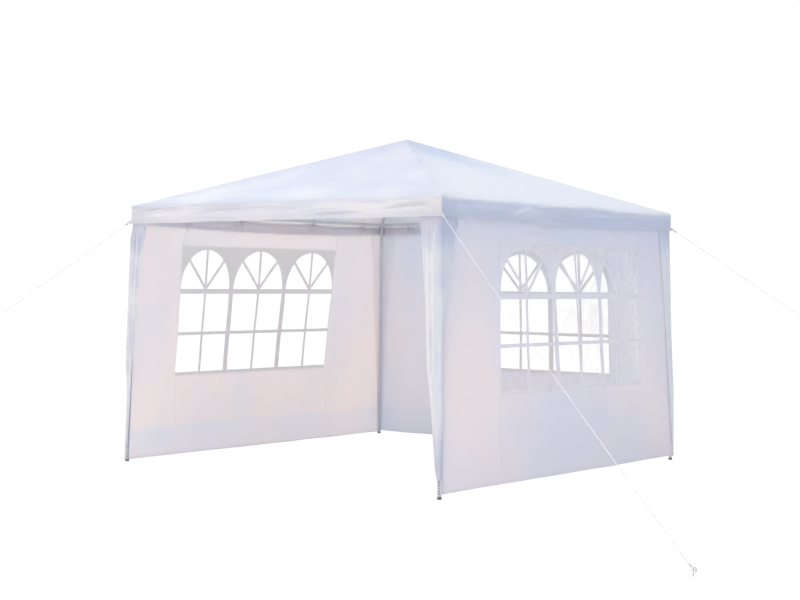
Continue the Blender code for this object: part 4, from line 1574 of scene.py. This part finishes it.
def addDrapeHem(corner, wing, z):
    # the doubled edge of a wing, an even width all the way down
    widths = atHeights(z, drapeWings[corner][0 if wing < 0 else 1])
    inner = 1 - drape["hem"] / np.maximum(widths, drape["hem"] * drape["leastHems"])
    share = np.stack([inner, (1 + inner) / 2, np.ones_like(z)], axis=1) * wing
    mesh = drapeMesh(corner, f"{corner}Hem", share.ravel(), np.repeat(z, 3), gridFaces(len(z), 3))
    # the side wing's hem takes the less see-through wall cloth and shows as a darker line: painted shadow
    # along the side wing's edge
    side, finish = ("left", "seamCloth") if wing < 0 else ("right", "wallCloth")
    return addPiece(f"drape_hem_{corner}_{side}", mesh, finish,
                    thickness=drape["hemThickness"])


# Where a drape's cord is tied, the size of its knot, how fast the cord winds in it, and each tail's
# direction and length
drapeKnot = {
    "height": 1.785, "share": 0.97, "proud": 0.006, "ball": (0.0045, 0.0035), "points": 22,
    "winding": (0.9, 0.62, 0.5), "tails": ((-1, 0.030), (1, 0.042)), "tailSpread": 0.012,
    "tailBow": 0.002, "tailWave": 3, "tailPoints": 9,
}


def addDrapeKnots(corner):
    # the short cords that hold each wing's top to the eave tubes
    signX, signY = cornerSigns[corner]
    wide, deep = drapeKnot["ball"]
    spin, climb, shift = drapeKnot["winding"]
    lines = []
    for wing in (-1, 1):
        at = np.array([wing * drapeKnot["share"]]), np.array([drapeKnot["height"]])
        side, out = Vector((signX, 0, 0)), Vector((0, signY, 0))
        if wing > 0:
            side, out = out, side
        centre = Vector(drapePoints(corner, *at)[0][0]) + out * drapeKnot["proud"]
        lines.append([centre + side * (wide * math.cos(spin * k)) + out * (deep * math.sin(spin * k))
                      + Vector((0, 0, wide * math.sin(climb * k + shift)))
                      for k in range(drapeKnot["points"])])
        for turn, length in drapeKnot["tails"]:
            lines.append([centre + side * (turn * drapeKnot["tailSpread"] * t)
                          + out * (drapeKnot["tailBow"] * math.sin(drapeKnot["tailWave"] * t))
                          - Vector((0, 0, length * t))
                          for t in np.linspace(0, 1, drapeKnot["tailPoints"])])
    addPiece(f"drape_knots_{corner}", makeCord(f"{corner}Knots", lines, tie, "ropeFibre"),
             "ropeFibre")


def addDrape(corner):
    signX, signY = cornerSigns[corner]
    z = np.linspace(drape["foot"], tent["drapeTop"], drape["rows"] + 1)
    share, level, faces = gridOf(np.linspace(-1, 1, drape["across"] + 1), z)
    faces = faces[:, ::-1] if signX * signY > 0 else faces
    mesh = drapeMesh(corner, f"{corner}Drape", share, level, faces)
    piece = addPiece(f"drape_{corner}", mesh, drapeHangs[corner]["cloth"],
                     [f"leg_drape_{corner}"], drape["thickness"])
    hems = [addDrapeHem(corner, wing, z) for wing in (-1, 1)]
    addDrapeKnots(corner)


for drapeCorner in cornerSigns:
    addDrape(drapeCorner)
print("drapes made")


# Ties: each wall hangs from its eave tube by short cords through eyelets


def tiePaths(side, u, seed):
    # twice round the tube and through the eyelet, a knot inside, and two tails
    reach = tent["tubeRadius"] + tie["radius"] + tie["clear"]
    centre, tubeZ = tent["tubeLine"], tent["tubeHeight"]
    holeZ, wallOut = tent["wallTop"] - tie["eyeletDrop"], tent["wallLine"]
    steps, low = tie["steps"], tubeZ - reach - tie["gap"]
    through = [(centre - tie["gap"], low)]
    through += [(wallOut + out, holeZ + up) for out, up in tie["through"]]
    drift = tie["pitch"] / (steps + len(through))
    loop = []
    for i in range(tie["turns"]):
        start = u + (i - (tie["turns"] - 1) / 2) * tie["pitch"]
        for k in range(steps):
            angle = math.radians(tie["from"] + tie["round"] * k / (steps - 1))
            loop.append((start + drift * k, centre + reach * math.cos(angle),
                         tubeZ + reach * math.sin(angle)))
        loop += [(start + drift * k, out, z) for k, (out, z) in enumerate(through, steps + 1)]
    knotOut, ball = centre - tie["knotIn"], tie["knot"]
    aside, around = tie["winding"]
    paths = [loop, [(u + ball * math.sin(k * aside), knotOut + ball * math.cos(k * around),
                     low + ball * math.sin(k * around)) for k in range(tie["knotPoints"])]]
    near, spread = tie["tailSpread"]
    for sign, length in zip((-1, 1), tie["tails"]):
        t = np.linspace(0, 1, steps)
        bow = tie["tailBow"] * np.sin(t * tie["tailWave"] + seed + sign) * t
        paths.append([(u + sign * (near + spread * k) + b, knotOut - tie["tailIn"] * k, low - length * k)
                      for k, b in zip(t, bow)])
    return [onSide(side, *np.array(path).T, splay=False) for path in paths]


def addTies(side):
    lines, spots = [], []
    for i, place in enumerate(wallHangs[side]["ties"]):
        lines += tiePaths(side, place, i + wallHangs[side]["seed"])
        spots.append([onSide(side, place, tent["wallLine"], tent["wallTop"] - tie["eyeletDrop"],
                             splay=False)])
    addPiece(f"{side}_wall_ties", makeCord(f"{side}Ties", lines, tie, "tieTape"), "tieTape")
    values = {**eyelet, "Metal": finishes["zincSteel"]}
    mesh = bakeNodes(f"{side}Eyelets", eyeletTree, values,
                     linesMesh("spots", spots, [sideFacing(side)] * len(spots)))
    addPiece(f"{side}_wall_eyelets", mesh, "zincSteel")


for wallSide in wallHangs:
    addTies(wallSide)
print("ties made")


# Guy ropes: an eye through the corner's loop, a whipped knot, the long run, an eye on the peg

rope = {
    "radius": 0.0025, "lay": 0.017, "step": 0.0026, "sides": 5, "sag": 0.020, "points": 60,
    "eye": (0.017, 0.0080), "eyeGap": 0.12, "eyePoints": 26, "cornerGap": 0.014, "pegGap": 0.004,
    "whipTurns": 4, "whipSteps": 12, "whipPitch": 2.1, "whipReach": 2.0, "whipBack": 0.020,
}


def ropeEnds(corner):
    # the ends of the solid rope: at the canopy's corner, and at the peg
    low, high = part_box(f"guy_rope_{corner}")
    signX, signY = cornerSigns[corner]
    near = Vector((low.x if signX > 0 else high.x, low.y if signY > 0 else high.y,
                   high.z - rope["radius"]))
    far = Vector((high.x if signX > 0 else low.x, high.y if signY > 0 else low.y,
                  low.z + rope["radius"]))
    return near, far


def eyePath(centre, along, across, long, wide):
    gap = rope["eyeGap"]
    return [centre + along * long * math.cos(a) + across * wide * math.sin(a)
            for a in np.linspace(gap, math.tau - gap, rope["eyePoints"])]


def whipPath(start, along):
    # turns laid side by side round the rope
    side = along.cross(Vector((0, 0, 1))).normalized()
    other = along.cross(side)
    pitch, reach = rope["whipPitch"] * rope["radius"], rope["radius"] * rope["whipReach"]
    turns = [k / rope["whipSteps"] for k in range(rope["whipTurns"] * rope["whipSteps"] + 1)]
    return [start + along * (pitch * turn) + (side * math.cos(math.tau * turn)
            + other * math.sin(math.tau * turn)) * reach for turn in turns]


def addRope(corner):
    near, far = ropeEnds(corner)
    away = Vector((*cornerSigns[corner], 0)).normalized()
    long, wide = rope["eye"]
    pegLong = long + rope["pegGap"]
    line = (far - near).normalized()
    level = line.cross(Vector((0, 0, 1)))
    topEye, pegEye = near + away * rope["cornerGap"], far + line * rope["pegGap"]
    start, end = topEye + line * long, pegEye - line * pegLong
    run = [start.lerp(end, t) - Vector((0, 0, rope["sag"] * 4 * t * (1 - t)))
           for t in np.linspace(0, 1, rope["points"])]
    lines = [run, eyePath(topEye, line, level.cross(line).normalized(), long, wide),
             eyePath(pegEye, -line, level.normalized(), pegLong, wide),
             whipPath(start, line), whipPath(end - line * rope["whipBack"], line)]
    mesh = makeCord(f"{corner}Rope", lines, rope, "ropeFibre")
    addPiece(f"rope_{corner}", mesh, "ropeFibre", [f"guy_rope_{corner}"])
    addRopeLoop(corner, near.z, away)


ropeLoop = {"reach": 0.024, "height": 0.020, "thickness": 0.0012, "bulge": 0.0050, "inset": 0.004,
            "lift": 0.001, "around": 25, "rows": 7, "flatReach": 0.03, "fullness": 0.7, "roundness": 1.6}


def addRopeLoop(corner, ropeHeight, away):
    # the loop of tape that is sewn into the canopy's corner
    signX, signY = cornerSigns[corner]
    side = Vector((-away.y, away.x, 0))
    base = Vector((signX * tent["half"], signY * tent["half"], ropeHeight + ropeLoop["lift"]))
    around, outline = np.linspace(-1, 1, ropeLoop["around"]), []
    for t in around:
        bulge = ropeLoop["bulge"] * math.sin(math.pi * (1 - abs(t)) ** ropeLoop["fullness"])
        outline.append(base - away * ropeLoop["inset"]
                       + away * ropeLoop["reach"] * (1 - abs(t) ** ropeLoop["roundness"])
                       + side * bulge * (1 if t > 0 else -1))
    heights = np.linspace(-ropeLoop["height"] / 2, ropeLoop["height"] / 2, ropeLoop["rows"])
    points = [(p.x, p.y, p.z + h) for h in heights for p in outline]
    flat = [(ropeLoop["flatReach"] * t, h, 0) for h in heights for t in around]
    mesh = makeMesh(f"{corner}Tab", points, gridFaces(len(heights), len(outline))[:, ::-1], flat=flat)
    addPiece(f"rope_loop_{corner}", mesh, "drapeCloth", thickness=ropeLoop["thickness"])


for ropeCorner in cornerSigns:
    addRope(ropeCorner)
print("ropes made")


# Feet: a cord wound round the bottom of each leg holds the drape in

wound = {"turns": 5.0, "low": 0.026, "high": 0.116, "cord": 0.0019, "clear": 0.0155, "steps": 20,
         "sides": 8}


def makeWoundTree():
    # a cord that winds up round a leaning leg
    tree, bench, given = newTree("woundCord", {
        "Float": ("Turns", "Low", "High", "Radius", "Cord"), "Int": ("Steps", "Sides"),
        "Vector": ("Foot", "Lean"), "Material": ("Fibre",),
    })
    spiral = bench.node("GeometryNodeCurveSpiral", {
        "Resolution": given["Steps"], "Rotations": given["Turns"], "Start Radius": given["Radius"],
        "End Radius": given["Radius"], "Height": given["High"] - given["Low"],
    })[0]
    height = bench.split(bench.node("GeometryNodeInputPosition")[0])["Z"] + given["Low"]
    offset = given["Foot"] + bench.join(z=given["Low"]) + given["Lean"] * height
    placed = bench.node("GeometryNodeSetPosition", {"Geometry": spiral, "Offset": offset})[0]
    closeTree(bench, bench.rod(placed, given["Sides"], given["Cord"]), given["Fibre"])
    return tree


woundTree = makeWoundTree()


def addWoundCord(corner):
    signX, signY = cornerSigns[corner]
    foot, lean = tent["footLine"], (tent["tubeLine"] - tent["footLine"]) / tent["tubeHeight"]
    mesh = bakeNodes(f"{corner}Wound", woundTree, {
        "Turns": wound["turns"], "Low": wound["low"], "High": wound["high"],
        "Radius": wound["clear"], "Cord": wound["cord"], "Steps": wound["steps"],
        "Sides": wound["sides"], "Foot": (signX * foot, signY * foot, 0.0),
        "Lean": (signX * lean, signY * lean, 0.0), "Fibre": finishes["ropeFibre"],
    })
    mesh.shade_smooth()
    addPiece(f"foot_cord_{corner}", mesh, "ropeFibre")


for footCorner in cornerSigns:
    addWoundCord(footCorner)
print("feet wound")


# Frame: the tubes and fittings keep their shapes and get their finish


def dressNodes(start, finish):
    for name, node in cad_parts.items():
        if name.startswith(start):
            node.data.materials.clear()
            node.data.materials.append(finishes[finish])


for nodeStart in ("leg_back", "corner_fitting", "eave_tube", "hip_rafter", "crown_fitting"):
    dressNodes(nodeStart, "greyCoat")
# the front legs get the darker copy of the coat: painted shade
dressNodes("leg_front", "frontLegShadedCoat")
dressNodes("foot_cap", "footPlastic")
dressNodes("ground_peg", "zincSteel")


# Last lines


print("scene ready")
